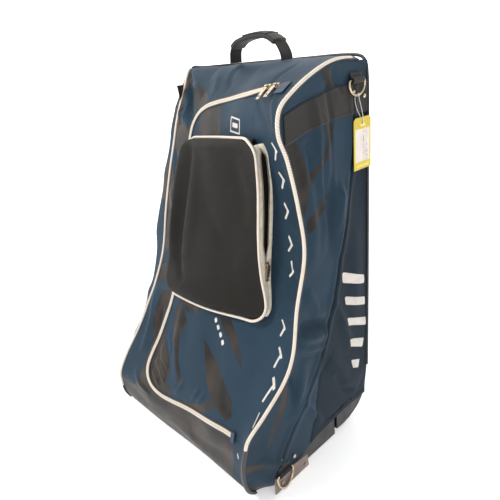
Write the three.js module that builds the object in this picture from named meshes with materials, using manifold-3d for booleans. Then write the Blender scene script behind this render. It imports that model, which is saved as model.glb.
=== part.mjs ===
// Standing wheeled hockey equipment bag: a tall soft tower on a moulded base, with a zipped front door,
// a cream-piped front pocket, side webbing bands, D-rings, a wrapped top handle, rear wheels and two fold-up shelves.
// Millimetres. X to the bag's own left when facing it from the front (viewer's right), -Y out of the front, +Z up.
// Origin: centre of the footprint, on the floor.
import * as THREE from 'three';
import { mergeVertices } from 'three/addons/utils/BufferGeometryUtils.js';
import Module from 'manifold-3d';

// ---- driving dimensions -------------------------------------------------------------------------------------
const HALF_W = 297;          // side panels stand at x = +-297
const BACK_Y = 207;          // outer face of the back panel
const SKIN = 3.0;            // sewn panel with its lining
const GAP = 0.9;             // clearance left between sewn neighbours
const PIPE_R = 4.6;          // edge piping
const POCKET_PIPE_R = 3.6;   // pocket piping
const ZIP_HALF = 9.5;        // half width of the front door's zip, tape included
const ZIP_T = 1.6;           // zip tape with coil
const STAY_R = 4.5;          // steel back stays
const WHEEL_R = 40, WHEEL_W = 26, AXLE_R = 4, BORE_R = 4.1;
const WHEEL = { x: 240, y: 146, z: 40 };
const GUARD_T = 4;           // moulded rear guard
const BAND_W = 60;           // webbing bands on the sides
const RING_ROD = 2.6;        // rod radius of the D-rings
const SHELF_T = 6;

// Front surface: rows from the floor up and over the top to the back edge, each with six stations across:
// left piping, three fabric stations, the door's hinge line, right piping. [x, y, z]
const NET = [
  [[-262,-190,4],[-110,-198,4],[20,-198,4],[140,-198,4],[225,-198,4],[266,-194,4]],
  [[-270,-205,35],[-110,-205,35],[20,-207,35],[140,-216,35],[236,-222,35],[270,-224,35]],
  [[-275,-208,72],[-110,-207,76],[20,-210,76],[140,-220,76],[242,-226,76],[272,-236,76]],
  [[-270,-207,110],[-110,-205,118],[20,-208,120],[140,-220,123],[248,-227,123],[278,-239,123]],
  [[-265,-178,160],[-110,-194,158],[20,-200,160],[140,-212,161],[250,-222,161],[285,-235,161]],
  [[-262,-145,200],[-110,-168,198],[20,-180,200],[140,-195,200],[251,-205,200],[292,-226,198]],
  [[-260,-115,239],[-110,-136,235],[20,-152,237],[140,-160,237],[252,-165,237],[297,-178,234]],
  [[-258,-84,286],[-110,-105,280],[20,-120,282],[140,-118,282],[253,-112,282],[297,-112,280]],
  [[-258,-46,342],[-110,-76,335],[20,-90,335],[140,-82,335],[254,-70,335],[297,-78,335]],
  [[-256,-5,428],[-110,-36,430],[20,-50,430],[140,-45,430],[255,-35,432],[297,-58,433]],
  [[-258,27,540],[-110,-4,545],[20,-15,545],[140,-15,547],[255,-8,547],[297,-25,547]],
  [[-260,60,640],[-110,25,640],[20,10,640],[140,0,650],[255,-10,650],[297,-36,650]],
  [[-262,90,718],[-110,60,728],[20,30,735],[140,5,740],[255,-25,745],[297,-60,750]],
  [[-263,109,770],[-110,76,780],[20,42,785],[140,6,795],[255,-38,803],[297,-81,803]],
  [[-266,131,814],[-110,93,818],[20,58,825],[140,14,838],[256,-30,846],[297,-73,848]],
  [[-270,150,840],[-110,110,843],[20,76,850],[140,24,864],[256,2,872],[297,-30,877]],
  [[-275,164,864],[-110,130,866],[20,100,872],[140,56,885],[256,45,893],[297,18,898]],
  [[-282,180,886],[-110,152,888],[20,128,895],[140,102,905],[256,95,911],[297,72,914]],
  [[-287,194,902],[-110,178,906],[20,160,911],[140,150,917],[258,145,919],[297,124,918]],
  [[-289,206,909],[-110,207,914],[20,207,917],[140,207,919],[258,207,919],[293,204,910]],
];
// Centreline of the door's zip in the front view, [x, z], from the lower right end round the left side to the upper right end.
const ZIP_PATH = [[236,166],[204,164],[150,157],[85,146],[24,135],[-25,125],[-70,120],[-108,128],[-134,148],[-148,175],[-150,210],
  [-149,260],[-147,335],[-150,430],[-156,540],[-163,640],[-169,710],[-168,755],[-158,786],[-136,808],[-104,821],[-60,831],[-4,842],[50,851],[100,859],[150,867],[195,873],[236,877]];
// Front pocket outline in the front view, with rounded corners.
const POCKET = { x0: -146, x1: 200, z0: 350, z1: 760, r: 44, depth: 46 };
const POCKET_EDGE = [213, 204, 194, 190, 190.5, 193.5, 195.5, 196.5, 198];   // x of the zipped side, from bottom to top
const POCKET_WALL = [19, 23, 35, 45, 48, 45, 39, 34, 29];                    // height of the zipped side wall, from bottom to top
// Door hinge axis: the straight line through the ends of the hinge station.
const HINGE_LOW = [251, -224, 150], HINGE_HIGH = [256, 2, 876];

// ---- small vector kit ---------------------------------------------------------------------------------------
const add = (a, b, k = 1) => [a[0] + b[0] * k, a[1] + b[1] * k, a[2] + b[2] * k];
const sub = (a, b) => add(a, b, -1);
const cross = (a, b) => [a[1] * b[2] - a[2] * b[1], a[2] * b[0] - a[0] * b[2], a[0] * b[1] - a[1] * b[0]];
const dot = (a, b) => a[0] * b[0] + a[1] * b[1] + a[2] * b[2];
const len = (a) => Math.hypot(...a);
const unit = (a) => { const l = len(a) || 1; return [a[0] / l, a[1] / l, a[2] / l]; };
const lerp = (a, b, t) => a.map((v, i) => v + (b[i] - v) * t);
const clamp = (v, lo, hi) => Math.min(hi, Math.max(lo, v));
const smooth = (t) => { const c = clamp(t, 0, 1); return c * c * (3 - 2 * c); };
const cat = (p, t) => {
  const [a, b, c, d] = p, t2 = t * t, t3 = t2 * t;
  return 0.5 * ((2 * b) + (c - a) * t + (2 * a - 5 * b + 4 * c - d) * t2 + (3 * b - a - 3 * c + d) * t3);
};
const NR = NET.length - 1, NC = NET[0].length - 1;
const netAt = (r, c) => {
  const pick = (rr, cc) => NET[rr][cc];
  const ext = (f, i, n) => (i < 0 ? add(add(f(0), f(0)), f(1), -1) : i > n ? add(add(f(n), f(n)), f(n - 1), -1) : f(i));
  return ext((rr) => ext((cc) => pick(rr, cc), c, NC), r, NR);
};
// Point of the front surface: s across (0..5), v up and over (0..19).
function front(s, v) {
  const c0 = clamp(Math.floor(s), 0, NC - 1), r0 = clamp(Math.floor(v), 0, NR - 1);
  const ts = s - c0, tv = v - r0;
  const rows = [];
  for (let r = r0 - 1; r <= r0 + 2; r++) {
    const q = [netAt(r, c0 - 1), netAt(r, c0), netAt(r, c0 + 1), netAt(r, c0 + 2)];
    rows.push([0, 1, 2].map((k) => cat(q.map((p) => p[k]), ts)));
  }
  return [0, 1, 2].map((k) => cat(rows.map((p) => p[k]), tv));
}
function frontNormal(s, v) {
  const e = 0.02;
  const ds = sub(front(s + e, v), front(s - e, v)), dv = sub(front(s, v + e), front(s, v - e));
  return unit(cross(ds, dv));                       // points out of the bag
}
// (s, v) of a point given in the front view.
function inverse(x, z) {
  let s = 2.5, v = 10, best = 1e9;
  for (let i = 0; i <= 20; i++) for (let j = 0; j <= 68; j++) {
    const p = front(i / 4, j / 4), d = Math.hypot(p[0] - x, p[2] - z);
    if (d < best) { best = d; s = i / 4; v = j / 4; }
  }
  for (let n = 0; n < 12; n++) {
    const p = front(s, v), e = 1e-3, a = front(s + e, v), b = front(s, v + e);
    const a00 = (a[0] - p[0]) / e, a01 = (b[0] - p[0]) / e, a10 = (a[2] - p[2]) / e, a11 = (b[2] - p[2]) / e;
    const det = a00 * a11 - a01 * a10, rx = x - p[0], rz = z - p[2];
    s += clamp((rx * a11 - rz * a01) / det, -0.5, 0.5); v += clamp((rz * a00 - rx * a10) / det, -0.5, 0.5);
  }
  return [s, v];
}
// (s, v) of the surface point nearest to a point in space.
function nearest(q, start) {
  let [s, v] = start;
  for (let n = 0; n < 14; n++) {
    const p = front(s, v), e = 1e-3, a = sub(front(s + e, v), p).map((k) => k / e), b = sub(front(s, v + e), p).map((k) => k / e), r = sub(q, p);
    const aa = dot(a, a), ab = dot(a, b), bb = dot(b, b), ra = dot(r, a), rb = dot(r, b), det = aa * bb - ab * ab;
    s += clamp((ra * bb - rb * ab) / det, -0.4, 0.4); v += clamp((rb * aa - ra * ab) / det, -0.4, 0.4);
  }
  return [s, v];
}

// ---- solids ---------------------------------------------------------------------------------------------------
const group = new THREE.Group();
const mesh = (name, geometry, color, roughness, metalness = 0) => {
  const m = new THREE.Mesh(geometry, new THREE.MeshStandardMaterial({ color, roughness, metalness }));
  m.name = name; group.add(m); return m;
};
function geometryOf(pos, tri) {
  let vol = 0;
  for (const [a, b, c] of tri) vol += dot(pos[a], cross(pos[b], pos[c]));
  const flip = vol < 0;
  const g = new THREE.BufferGeometry();
  g.setAttribute('position', new THREE.Float32BufferAttribute(pos.flat(), 3));
  g.setIndex(tri.flatMap(([a, b, c]) => (flip ? [a, c, b] : [a, b, c])));
  return g;
}
// Closed thin solid from a grid of outer points; 'inward' gives the inner point of each.
function slab(outer, inward) {
  const nu = outer.length - 1, nv = outer[0].length - 1, pos = [], tri = [], w = nv + 1, off = (nu + 1) * w;
  for (let i = 0; i <= nu; i++) for (let j = 0; j <= nv; j++) pos.push(outer[i][j]);
  for (let i = 0; i <= nu; i++) for (let j = 0; j <= nv; j++) pos.push(inward(outer[i][j], i, j));
  const id = (i, j) => i * w + j, quad = (a, b, c, d) => tri.push([a, b, c], [a, c, d]);
  for (let i = 0; i < nu; i++) for (let j = 0; j < nv; j++) {
    quad(id(i, j), id(i + 1, j), id(i + 1, j + 1), id(i, j + 1));
    quad(off + id(i, j), off + id(i, j + 1), off + id(i + 1, j + 1), off + id(i + 1, j));
  }
  for (let i = 0; i < nu; i++) { quad(id(i + 1, 0), id(i, 0), off + id(i, 0), off + id(i + 1, 0)); quad(id(i, nv), id(i + 1, nv), off + id(i + 1, nv), off + id(i, nv)); }
  for (let j = 0; j < nv; j++) { quad(id(0, j), id(0, j + 1), off + id(0, j + 1), off + id(0, j)); quad(id(nu, j + 1), id(nu, j), off + id(nu, j), off + id(nu, j + 1)); }
  return geometryOf(pos, tri);
}
function gridNormals(P) {
  const nu = P.length - 1, nv = P[0].length - 1;
  return P.map((col, i) => col.map((_, j) => {
    const du = sub(P[Math.min(nu, i + 1)][j], P[Math.max(0, i - 1)][j]), dv = sub(P[i][Math.min(nv, j + 1)], P[i][Math.max(0, j - 1)]);
    return unit(cross(du, dv));
  }));
}
// Thin solid whose inner face lies t inside the outer grid, on the side of 'core'.
function skin(P, t, core = [0, 120, 450]) {
  const N = gridNormals(P), mid = P[P.length >> 1][P[0].length >> 1], nm = N[P.length >> 1][P[0].length >> 1];
  const sign = dot(nm, sub(core, mid)) > 0 ? 1 : -1;
  return slab(P, (p, i, j) => add(p, N[i][j], sign * t));
}
// The same, standing 'lift' proud of the grid.
function cover(P, lift, t, core = [0, 120, 450]) {
  const N = gridNormals(P), mid = P[P.length >> 1][P[0].length >> 1], nm = N[P.length >> 1][P[0].length >> 1];
  const sign = dot(nm, sub(core, mid)) > 0 ? -1 : 1;
  return slab(P.map((c, i) => c.map((p, j) => add(p, N[i][j], sign * (lift + t)))), (p, i, j) => add(P[i][j], N[i][j], sign * lift));
}
const spaced = (n) => Array.from({ length: n + 1 }, (_, i) => i / n);
// Transfinite patch of four boundary curves, each a function of 0..1 giving [s, v].
function coons(bottom, top, left, right, us, vs, at) {
  const b0 = bottom(0), b1 = bottom(1), t0 = top(0), t1 = top(1);
  return us.map((u) => vs.map((w) => {
    const L = left(w), R = right(w), B = bottom(u), T = top(u);
    const q = [0, 1].map((k) => (1 - u) * L[k] + u * R[k] + (1 - w) * B[k] + w * T[k]
      - ((1 - u) * (1 - w) * b0[k] + u * (1 - w) * b1[k] + (1 - u) * w * t0[k] + u * w * t1[k]));
    return at(q[0], q[1]);
  }));
}
const along = (pts) => {                              // polyline of [s, v] or points as a function of 0..1 by length
  const d = [0];
  for (let i = 1; i < pts.length; i++) d.push(d[i - 1] + Math.hypot(...pts[i].map((v, k) => v - pts[i - 1][k])));
  return (t) => {
    const q = clamp(t, 0, 1) * d[d.length - 1];
    let i = 1; while (i < d.length - 1 && d[i] < q) i++;
    return lerp(pts[i - 1], pts[i], (q - d[i - 1]) / (d[i] - d[i - 1] || 1));
  };
};
const byIndex = (pts) => (t) => {                      // the same, by sample number
  const q = clamp(t, 0, 1) * (pts.length - 1), i = Math.min(pts.length - 2, Math.floor(q));
  return lerp(pts[i], pts[i + 1], q - i);
};
const circle = (r, n) => {
  const s = new THREE.Shape();
  for (let i = 0; i < n; i++) { const a = (i / n) * 2 * Math.PI; i ? s.lineTo(r * Math.cos(a), r * Math.sin(a)) : s.moveTo(r, 0); }
  s.closePath(); return s;
};
const rect = (w, h) => { const s = new THREE.Shape(); s.moveTo(-w / 2, -h / 2); s.lineTo(w / 2, -h / 2); s.lineTo(w / 2, h / 2); s.lineTo(-w / 2, h / 2); s.closePath(); return s; };
const path3 = (pts, closed = false) => new THREE.CatmullRomCurve3(pts.map((p) => new THREE.Vector3(...p)), closed, 'centripetal');
const tube = (pts, r, steps, sides = 8, closed = false) =>
  new THREE.ExtrudeGeometry(circle(r, sides), { steps, extrudePath: path3(pts, closed), curveSegments: 1, bevelEnabled: false });
const box = (x0, x1, y0, y1, z0, z1) => { const g = new THREE.BoxGeometry(x1 - x0, y1 - y0, z1 - z0); g.translate((x0 + x1) / 2, (y0 + y1) / 2, (z0 + z1) / 2); return g; };
// Plate drawn in the YZ plane and extruded along X from x0 to x1.
function plateX(outline, x0, x1, holes = []) {
  const s = new THREE.Shape(outline.map(([y, z]) => new THREE.Vector2(y, z)));
  for (const h of holes) s.holes.push(new THREE.Path(h.map(([y, z]) => new THREE.Vector2(y, z))));
  const g = new THREE.ExtrudeGeometry(s, { depth: x1 - x0, bevelEnabled: false, curveSegments: 6 });
  const m = new THREE.Matrix4().set(0, 0, 1, x0, 1, 0, 0, 0, 0, 1, 0, 0, 0, 0, 0, 1);
  g.applyMatrix4(m); return g;
}
const disc = (r, t, n, at, dir) => {
  const g = new THREE.CylinderGeometry(r, r, t, n);
  g.applyQuaternion(new THREE.Quaternion().setFromUnitVectors(new THREE.Vector3(0, 1, 0), new THREE.Vector3(...unit(dir))));
  g.translate(...at); return g;
};
const wasm = await Module(); wasm.setup();
function solid(g) {
  const c = g.clone(); c.deleteAttribute('normal'); c.deleteAttribute('uv');
  const m = mergeVertices(c, 1e-4);
  const idx = m.index ? m.index.array : Uint32Array.from({ length: m.attributes.position.count }, (_, i) => i);
  return new wasm.Manifold(new wasm.Mesh({ numProp: 3, vertProperties: new Float32Array(m.attributes.position.array), triVerts: new Uint32Array(idx) }));
}
function fromSolid(s) {
  const m = s.getMesh(), g = new THREE.BufferGeometry();
  g.setAttribute('position', new THREE.Float32BufferAttribute(m.vertProperties, 3));
  g.setIndex(Array.from(m.triVerts)); return g;
}
const join = (...gs) => fromSolid(gs.map(solid).reduce((a, b) => a.add(b)));
const cut = (g, ...hs) => fromSolid(hs.map(solid).reduce((a, b) => a.subtract(b), solid(g)));
const mirrorX = (g) => {
  const c = g.clone(); c.deleteAttribute('normal'); c.deleteAttribute('uv'); c.scale(-1, 1, 1);
  const m = c.index ? c : mergeVertices(c, 1e-5), a = m.index.array;
  for (let i = 0; i < a.length; i += 3) { const t = a[i + 1]; a[i + 1] = a[i + 2]; a[i + 2] = t; }
  return m;
};

// ---- colours ----------------------------------------------------------------------------------------------------
const NAVY = 0x2f4a63, NAVY_DK = 0x263a4e, BLACK = 0x2a2827, BLACKER = 0x1d1c1c, CREAM = 0xe6ddd0, TAPE = 0xd6cdbf, NICKEL = 0xc9b79a, TAUPE = 0x7d6f66, STEEL = 0x8a8d90;

// ---- front surface pieces -------------------------------------------------------------------------------------
// Zip centreline points on the surface with in-surface offset directions (towards the door's inside).
const zipCurve = new THREE.CatmullRomCurve3(ZIP_PATH.map(([x, z]) => new THREE.Vector3(x, 0, z)), false, 'centripetal');
const ZN = 40;
const zip = spaced(ZN).map((t) => { const p = zipCurve.getPointAt(t); return inverse(p.x, p.z); });
const zipP = zip.map(([s, v]) => front(s, v)), zipN = zip.map(([s, v]) => frontNormal(s, v));
const zipIn = zipP.map((p, i) => {
  const t = unit(sub(zipP[Math.min(ZN, i + 1)], zipP[Math.max(0, i - 1)]));
  return unit(cross(t, zipN[i]));
});
{ // the offset must point into the door
  const i = ZN >> 1; if (zipIn[i][0] < 0) zipIn.forEach((v, k) => { zipIn[k] = v.map((c) => -c); });
}
const offsetZip = (d) => zipP.map((p, i) => add(p, zipIn[i], d));
const ribbon = (d0, d1, lift0, lift1, i0 = 0, i1 = ZN) => {
  const a = [], b = [];
  for (let i = i0; i <= i1; i++) { a.push(add(add(zipP[i], zipIn[i], d0), zipN[i], lift1)); b.push(add(add(zipP[i], zipIn[i], d1), zipN[i], lift1)); }
  return slab([a, b], (p, u, j) => add(p, zipN[j + i0], lift0 - lift1));
};
mesh('main_zip_tape_body', ribbon(-0.4, -ZIP_HALF, -1.2, -1.2 + ZIP_T), TAPE, 0.7);
mesh('main_zip_tape_door', ribbon(0.4, ZIP_HALF, -1.2, -1.2 + ZIP_T), TAPE, 0.7);

const inner = offsetZip(ZIP_HALF + GAP).map((q, i) => nearest(q, zip[i]));
const outer = offsetZip(-ZIP_HALF - GAP).map((q, i) => nearest(q, zip[i]));
const S_H = 4, hs = 0.022;                              // hinge station and half its slit
const cornerLow = 11, cornerHigh = 29;                  // zip samples at the middle of the two rounded corners
const seg = (pts, a, b) => byIndex(pts.slice(a, b + 1));
const rev = (f) => (t) => f(1 - t);
// Door: hinge station on the right, the zip round the other three sides.
const doorBottom = [[S_H - hs, inner[0][1]], ...inner.slice(0, cornerLow + 1)].reverse();
const doorTop = [...inner.slice(cornerHigh), [S_H - hs, inner[ZN][1]]];
const doorGrid = coons(byIndex(doorBottom), byIndex(doorTop), seg(inner, cornerLow, cornerHigh),
  (t) => [S_H - hs, inner[0][1] + (inner[ZN][1] - inner[0][1]) * t], spaced(12), spaced(18), front);
mesh('front_door_panel', skin(doorGrid, SKIN), NAVY, 0.6);

const R_EDGE = (v) => nearest(add(front(5, v), unit(sub(front(4, v), front(5, v))), PIPE_R + GAP + 0.5), [4.9, v]);
const L_EDGE = (v) => nearest(add(front(0, v), unit(sub(front(1, v), front(0, v))), PIPE_R + GAP), [0.1, v]);
const edgeR = spaced(60).map((t) => R_EDGE(0.15 + 18.6 * t)), edgeL = spaced(60).map((t) => L_EDGE(0.15 + 18.6 * t));
const onEdge = (e, v) => { const t = clamp((v - 0.15) / 18.6, 0, 1) * 60, i = Math.min(59, Math.floor(t)); return lerp(e[i], e[i + 1], t - i); };
const vLowL = outer[cornerLow][1] , vHighL = outer[cornerHigh][1];
const vLowR = inner[0][1], vHighR = inner[ZN][1], dv = 0.09;
// Right strip between hinge and piping, with the length of the door.
mesh('right_front_strip', skin(coons(
  (t) => lerp([S_H + hs, vLowR], onEdge(edgeR, vLowR), t), (t) => lerp([S_H + hs, vHighR], onEdge(edgeR, vHighR), t),
  (t) => [S_H + hs, vLowR + (vHighR - vLowR) * t], (t) => onEdge(edgeR, vLowR + (vHighR - vLowR) * t), spaced(3), spaced(20), front), SKIN), NAVY, 0.6);
// Left strip between piping and zip.
mesh('left_front_strip', skin(coons(
  (t) => lerp(onEdge(edgeL, vLowL), outer[cornerLow], t), (t) => lerp(onEdge(edgeL, vHighL), outer[cornerHigh], t),
  (t) => onEdge(edgeL, vLowL + (vHighL - vLowL) * t), seg(outer, cornerLow, cornerHigh), spaced(4), spaced(18), front), SKIN), NAVY, 0.6);
// Top panel: from the zip up and over to the back edge.
const V_TOP = 18.75;
const topLow = [onEdge(edgeL, vHighL + dv), ...outer.slice(cornerHigh).map(([s, v]) => [s, v + 0.0]), [S_H - 0.04, outer[ZN][1]], [S_H, vHighR + dv], onEdge(edgeR, vHighR + dv)];
topLow[1] = [topLow[1][0], topLow[1][1] + dv];
mesh('top_front_panel', skin(coons(byIndex(topLow), (t) => lerp(onEdge(edgeL, V_TOP), onEdge(edgeR, V_TOP), t),
  (t) => onEdge(edgeL, vHighL + dv + (V_TOP - vHighL - dv) * t), (t) => onEdge(edgeR, vHighR + dv + (V_TOP - vHighR - dv) * t), spaced(topLow.length - 1), spaced(6), front), SKIN), NAVY, 0.6);
// Lower front panel: from the base edge up to the zip.
const lowTop = [onEdge(edgeL, vLowL - dv), ...outer.slice(0, cornerLow + 1).reverse(), [S_H - 0.04, outer[0][1]], [S_H, vLowR - dv], onEdge(edgeR, vLowR - dv)];
lowTop[1] = [lowTop[1][0], lowTop[1][1] - dv];
const V_BOT = 0.35;
mesh('lower_front_panel', skin(coons((t) => lerp(onEdge(edgeL, V_BOT), onEdge(edgeR, V_BOT), t), byIndex(lowTop),
  (t) => onEdge(edgeL, V_BOT + (vLowL - dv - V_BOT) * t), (t) => onEdge(edgeR, V_BOT + (vLowR - dv - V_BOT) * t), spaced(lowTop.length - 1), spaced(5), front), SKIN), BLACK, 0.6);

// ---- edge piping -----------------------------------------------------------------------------------------------
const V_PIPE = 4.35;                                    // cream above, black below
const run = (s, v0, v1, n) => spaced(n).map((t) => front(s, v0 + (v1 - v0) * t));
mesh('right_piping', tube(run(5, V_PIPE, 18.0, 40), PIPE_R, 38, 6), CREAM, 0.6);
mesh('right_base_piping', tube(run(5, 0.3, V_PIPE - 0.02, 12), PIPE_R, 9, 6), BLACK, 0.6);
mesh('left_piping', tube(run(0, 0.3, 18.4, 44), PIPE_R, 38, 6), CREAM, 0.6);

// ---- side panels ------------------------------------------------------------------------------------------------
// Each row runs level from the piping to the back edge; the panel fills out to the side plane and stops above the guard.
function side(col, sgn, u, v, lift = 0) {
  const c = front(col, v), a = front(col, v - 0.05), b = front(col, v + 0.05), l = Math.hypot(b[1] - a[1], b[2] - a[2]), off = (PIPE_R + GAP + 1.6) / l;
  const p = [c[0], c[1] + (b[2] - a[2]) * off, c[2] - (b[1] - a[1]) * off], y0 = p[1];
  const zBack = p[2] < 62 ? 66 + (p[2] - 3) * 0.3 : p[2] < 880 ? Math.max(p[2], 84) : 880 + (p[2] - 880) * 0.55;
  const z = p[2] + (zBack - p[2]) * smooth((u - 0.08) / 0.5);
  const yBack = BACK_Y - 8 - 10 * smooth((150 - z) / 70);
  const x = Math.abs(p[0]) + (HALF_W - Math.abs(p[0])) * smooth(u / 0.26);
  return [sgn * (x + lift), y0 + (yBack - y0) * u, z];
}
const sideUs = [0, 0.07, 0.15, 0.26, 0.5, 0.75, 1];
const sidePatch = (col, sgn, vTop) => sideUs.map((u) => spaced(28).map((t) => side(col, sgn, u, 0.35 + (vTop - 0.35) * t)));
mesh('right_side_panel', skin(sidePatch(5, 1, 17.4), SKIN), NAVY, 0.6);
mesh('left_side_panel', skin(sidePatch(0, -1, 17.6), SKIN), NAVY, 0.6);
// Webbing bands, [y, z] of the lower and the upper edge.
const BAND_LOW = [[-66, 779], [-21, 790], [31, 801], [77, 805], [135, 806], [196, 804]], BAND_TOP = [[-66, 835], [-16, 849], [35, 858], [86, 866], [129, 867], [196, 867]];
const atY = (pts, y) => { let i = 1; while (i < pts.length - 1 && pts[i][0] < y) i++; const [a, b] = [pts[i - 1], pts[i]]; return a[1] + (b[1] - a[1]) * clamp((y - a[0]) / (b[0] - a[0]), 0, 1); };
function sidePoint(col, sgn, u, z, lift) {
  let a = 9, b = 18; for (let n = 0; n < 40; n++) { const m = (a + b) / 2; side(col, sgn, u, m)[2] < z ? (a = m) : (b = m); }
  return side(col, sgn, u, a, lift);
}
const band = (col, sgn, us) => cover(us.map((u) => {
  const y = -66 + 262 * u;
  return spaced(3).map((w) => sidePoint(col, sgn, u, atY(BAND_LOW, y) * (1 - w) + atY(BAND_TOP, y) * w, 0));
}), 2.2, 2.2);
mesh('right_side_band', band(5, 1, [0.035, 0.15, 0.26, 0.5, 0.75, 0.985]), BLACK, 0.8);
mesh('left_side_band', band(0, -1, [0.3, 0.4, 0.55, 0.7, 0.85, 0.985]), BLACK, 0.8);

// ---- back panel, board, stays, binding --------------------------------------------------------------------------
mesh('back_panel', box(-288, 288, BACK_Y - SKIN, BACK_Y, 156, 900), BLACK, 0.7);
mesh('back_top_binding', tube([[-284, 211.5, 902], [-240, 213.8, 913.5], [-110, 214.6, 918], [20, 214.6, 921], [140, 214.6, 923], [240, 214.4, 923], [280, 212, 915], [290, 210, 902]], 3.4, 26), BLACK, 0.5);
mesh('back_board', box(-270, 270, 198.5, 202.5, 160, 896), 0x202022, 0.6);
const stay = () => tube([[281, 189, 156], [281, 189, 480], [281, 189, 860]], STAY_R, 3, 12);
mesh('right_back_stay', stay(), STEEL, 0.35, 0.9);
mesh('left_back_stay', mirrorX(stay()), STEEL, 0.35, 0.9);

// ---- moulded base -------------------------------------------------------------------------------------------------
const outlineZ = (pts, z0, z1) => { const g = new THREE.ExtrudeGeometry(new THREE.Shape(pts.map(([x, y]) => new THREE.Vector2(x, y))), { depth: z1 - z0, bevelEnabled: false }); g.translate(0, 0, z0); return g; };
const TRAY = [[-240, -188], [240, -188], [288, -96], [288, 72], [-288, 72], [-288, -96]];
const TRAY_IN = [[-237, -184], [237, -184], [284, -95], [284, 68], [-284, 68], [-284, -95]];
mesh('base_tray', cut(outlineZ(TRAY, 3, 60), outlineZ(TRAY_IN, 8, 70)), BLACKER, 0.5);
mesh('base_board', outlineZ([[-232, -178], [232, -178], [279, -90], [279, 63], [-279, 63], [-279, -90]], 8.6, 13), 0x202022, 0.7);
const runner = () => box(176, 214, -165, 55, 0, 2.6);
mesh('right_base_runner', runner(), TAUPE, 0.5);
mesh('left_base_runner', mirrorX(runner()), TAUPE, 0.5);
// Rear guard: one moulding that wraps the rear lower edge, with side walls and a slot for each wheel.
const ARC = [[77, 18], [104, 17], [128, 20], [152, 27], [173, 37], [189, 52], [199, 72], [204, 98], [206.5, 126], [207.5, 150]];
const arcIn = ARC.map(([y, z], i) => { const a = ARC[Math.max(0, i - 1)], b = ARC[Math.min(ARC.length - 1, i + 1)], l = Math.hypot(b[0] - a[0], b[1] - a[1]); return [y - (b[1] - a[1]) / l * GUARD_T, z + (b[0] - a[0]) / l * GUARD_T]; });
const guardStrip = plateX([...ARC, ...arcIn.slice().reverse()], -292, 292);
const wall = (x0, x1) => plateX([...ARC.slice(0, 9), [200, 126], [188, 98], [168, 68], [77, 62]], x0, x1);
const slot = (s) => box(s * WHEEL.x - 19, s * WHEEL.x + 19, 84, 230, -10, 82);
mesh('rear_guard', cut(join(guardStrip, wall(288.4, 292), wall(-292, -288.4)), slot(1), slot(-1)), BLACKER, 0.5);
// Wheel housings inside the guard: two cheeks, a roof and a front wall.
function housing() {
  const x0 = WHEEL.x - 24, x1 = WHEEL.x + 24, cheek = [[88, 26], [164, 42], [178, 60], [186, 92], [88, 92]];
  const body = join(plateX(cheek, x0, x0 + 4), plateX(cheek, x1 - 4, x1), box(x0, x1, 88, 186, 89, 93), box(x0, x1, 88, 92, 27, 93));
  return cut(body, disc(AXLE_R + 0.35, 80, 20, [WHEEL.x, WHEEL.y, WHEEL.z], [1, 0, 0]));
}
mesh('right_wheel_housing', housing(), BLACKER, 0.5);
mesh('left_wheel_housing', mirrorX(housing()), BLACKER, 0.5);
const axle = () => join(disc(AXLE_R, 50, 24, [WHEEL.x, WHEEL.y, WHEEL.z], [1, 0, 0]), disc(AXLE_R + 2.5, 2.5, 20, [WHEEL.x + 25.8, WHEEL.y, WHEEL.z], [1, 0, 0]));
mesh('right_axle', axle(), STEEL, 0.3, 0.9);
mesh('left_axle', mirrorX(axle()), STEEL, 0.3, 0.9);
const lathe = (pts, n) => { const g = new THREE.LatheGeometry([...pts, pts[0]].map(([r, a]) => new THREE.Vector2(r, a)), n); g.rotateZ(-Math.PI / 2); g.translate(WHEEL.x, WHEEL.y, WHEEL.z); return g; };
const hub = () => lathe([[BORE_R, -14], [11, -14], [12, -9], [29, -9], [30, -11.5], [32, -11.5], [32, 11.5], [30, 11.5], [29, 9], [12, 9], [11, 14], [BORE_R, 14]], 24);
const tyre = () => lathe([[33, -11], [37, -13], [WHEEL_R, -7], [WHEEL_R, 7], [37, 13], [33, 11]], 24);
mesh('right_wheel_hub', hub(), 0x55585a, 0.5); mesh('right_wheel_tyre', tyre(), 0x161616, 0.9);
mesh('left_wheel_hub', mirrorX(hub()), 0x55585a, 0.5); mesh('left_wheel_tyre', mirrorX(tyre()), 0x161616, 0.9);

// ---- brackets, rings and rivets on the sides -------------------------------------------------------------------
// Closed rod loop in the YZ plane.
function loop(pts, r, x, sides = 6) {
  const n = pts.length, pos = [], tri = [];
  for (let i = 0; i < n; i++) {
    const a = pts[(i + n - 1) % n], b = pts[(i + 1) % n], l = Math.hypot(b[0] - a[0], b[1] - a[1]), nn = [-(b[1] - a[1]) / l, (b[0] - a[0]) / l];
    for (let k = 0; k < sides; k++) { const w = (k / sides) * 2 * Math.PI; pos.push([x + r * Math.sin(w), pts[i][0] + nn[0] * r * Math.cos(w), pts[i][1] + nn[1] * r * Math.cos(w)]); }
  }
  for (let i = 0; i < n; i++) for (let k = 0; k < sides; k++) {
    const a = i * sides + k, b = i * sides + (k + 1) % sides, c = ((i + 1) % n) * sides + (k + 1) % sides, d = ((i + 1) % n) * sides + k;
    tri.push([a, b, c], [a, c, d]);
  }
  return geometryOf(pos, tri);
}
const dRing = (yc, zTop, half, drop) => {             // straight bar on top, bow below
  const pts = [];
  for (let i = 0; i <= 1; i++) pts.push([yc - half + 3 + (2 * half - 6) * i, zTop]);
  pts.push([yc + half - 0.8, zTop - 1.2]);
  for (let i = 0; i <= 10; i++) { const a = (i / 10) * Math.PI; pts.push([yc + half * Math.cos(a), zTop - 5 - (drop - 5) * Math.sin(a)]); }
  pts.push([yc - half + 0.8, zTop - 1.2]);
  return pts;
};
const RING_X = 305.4;
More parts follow.
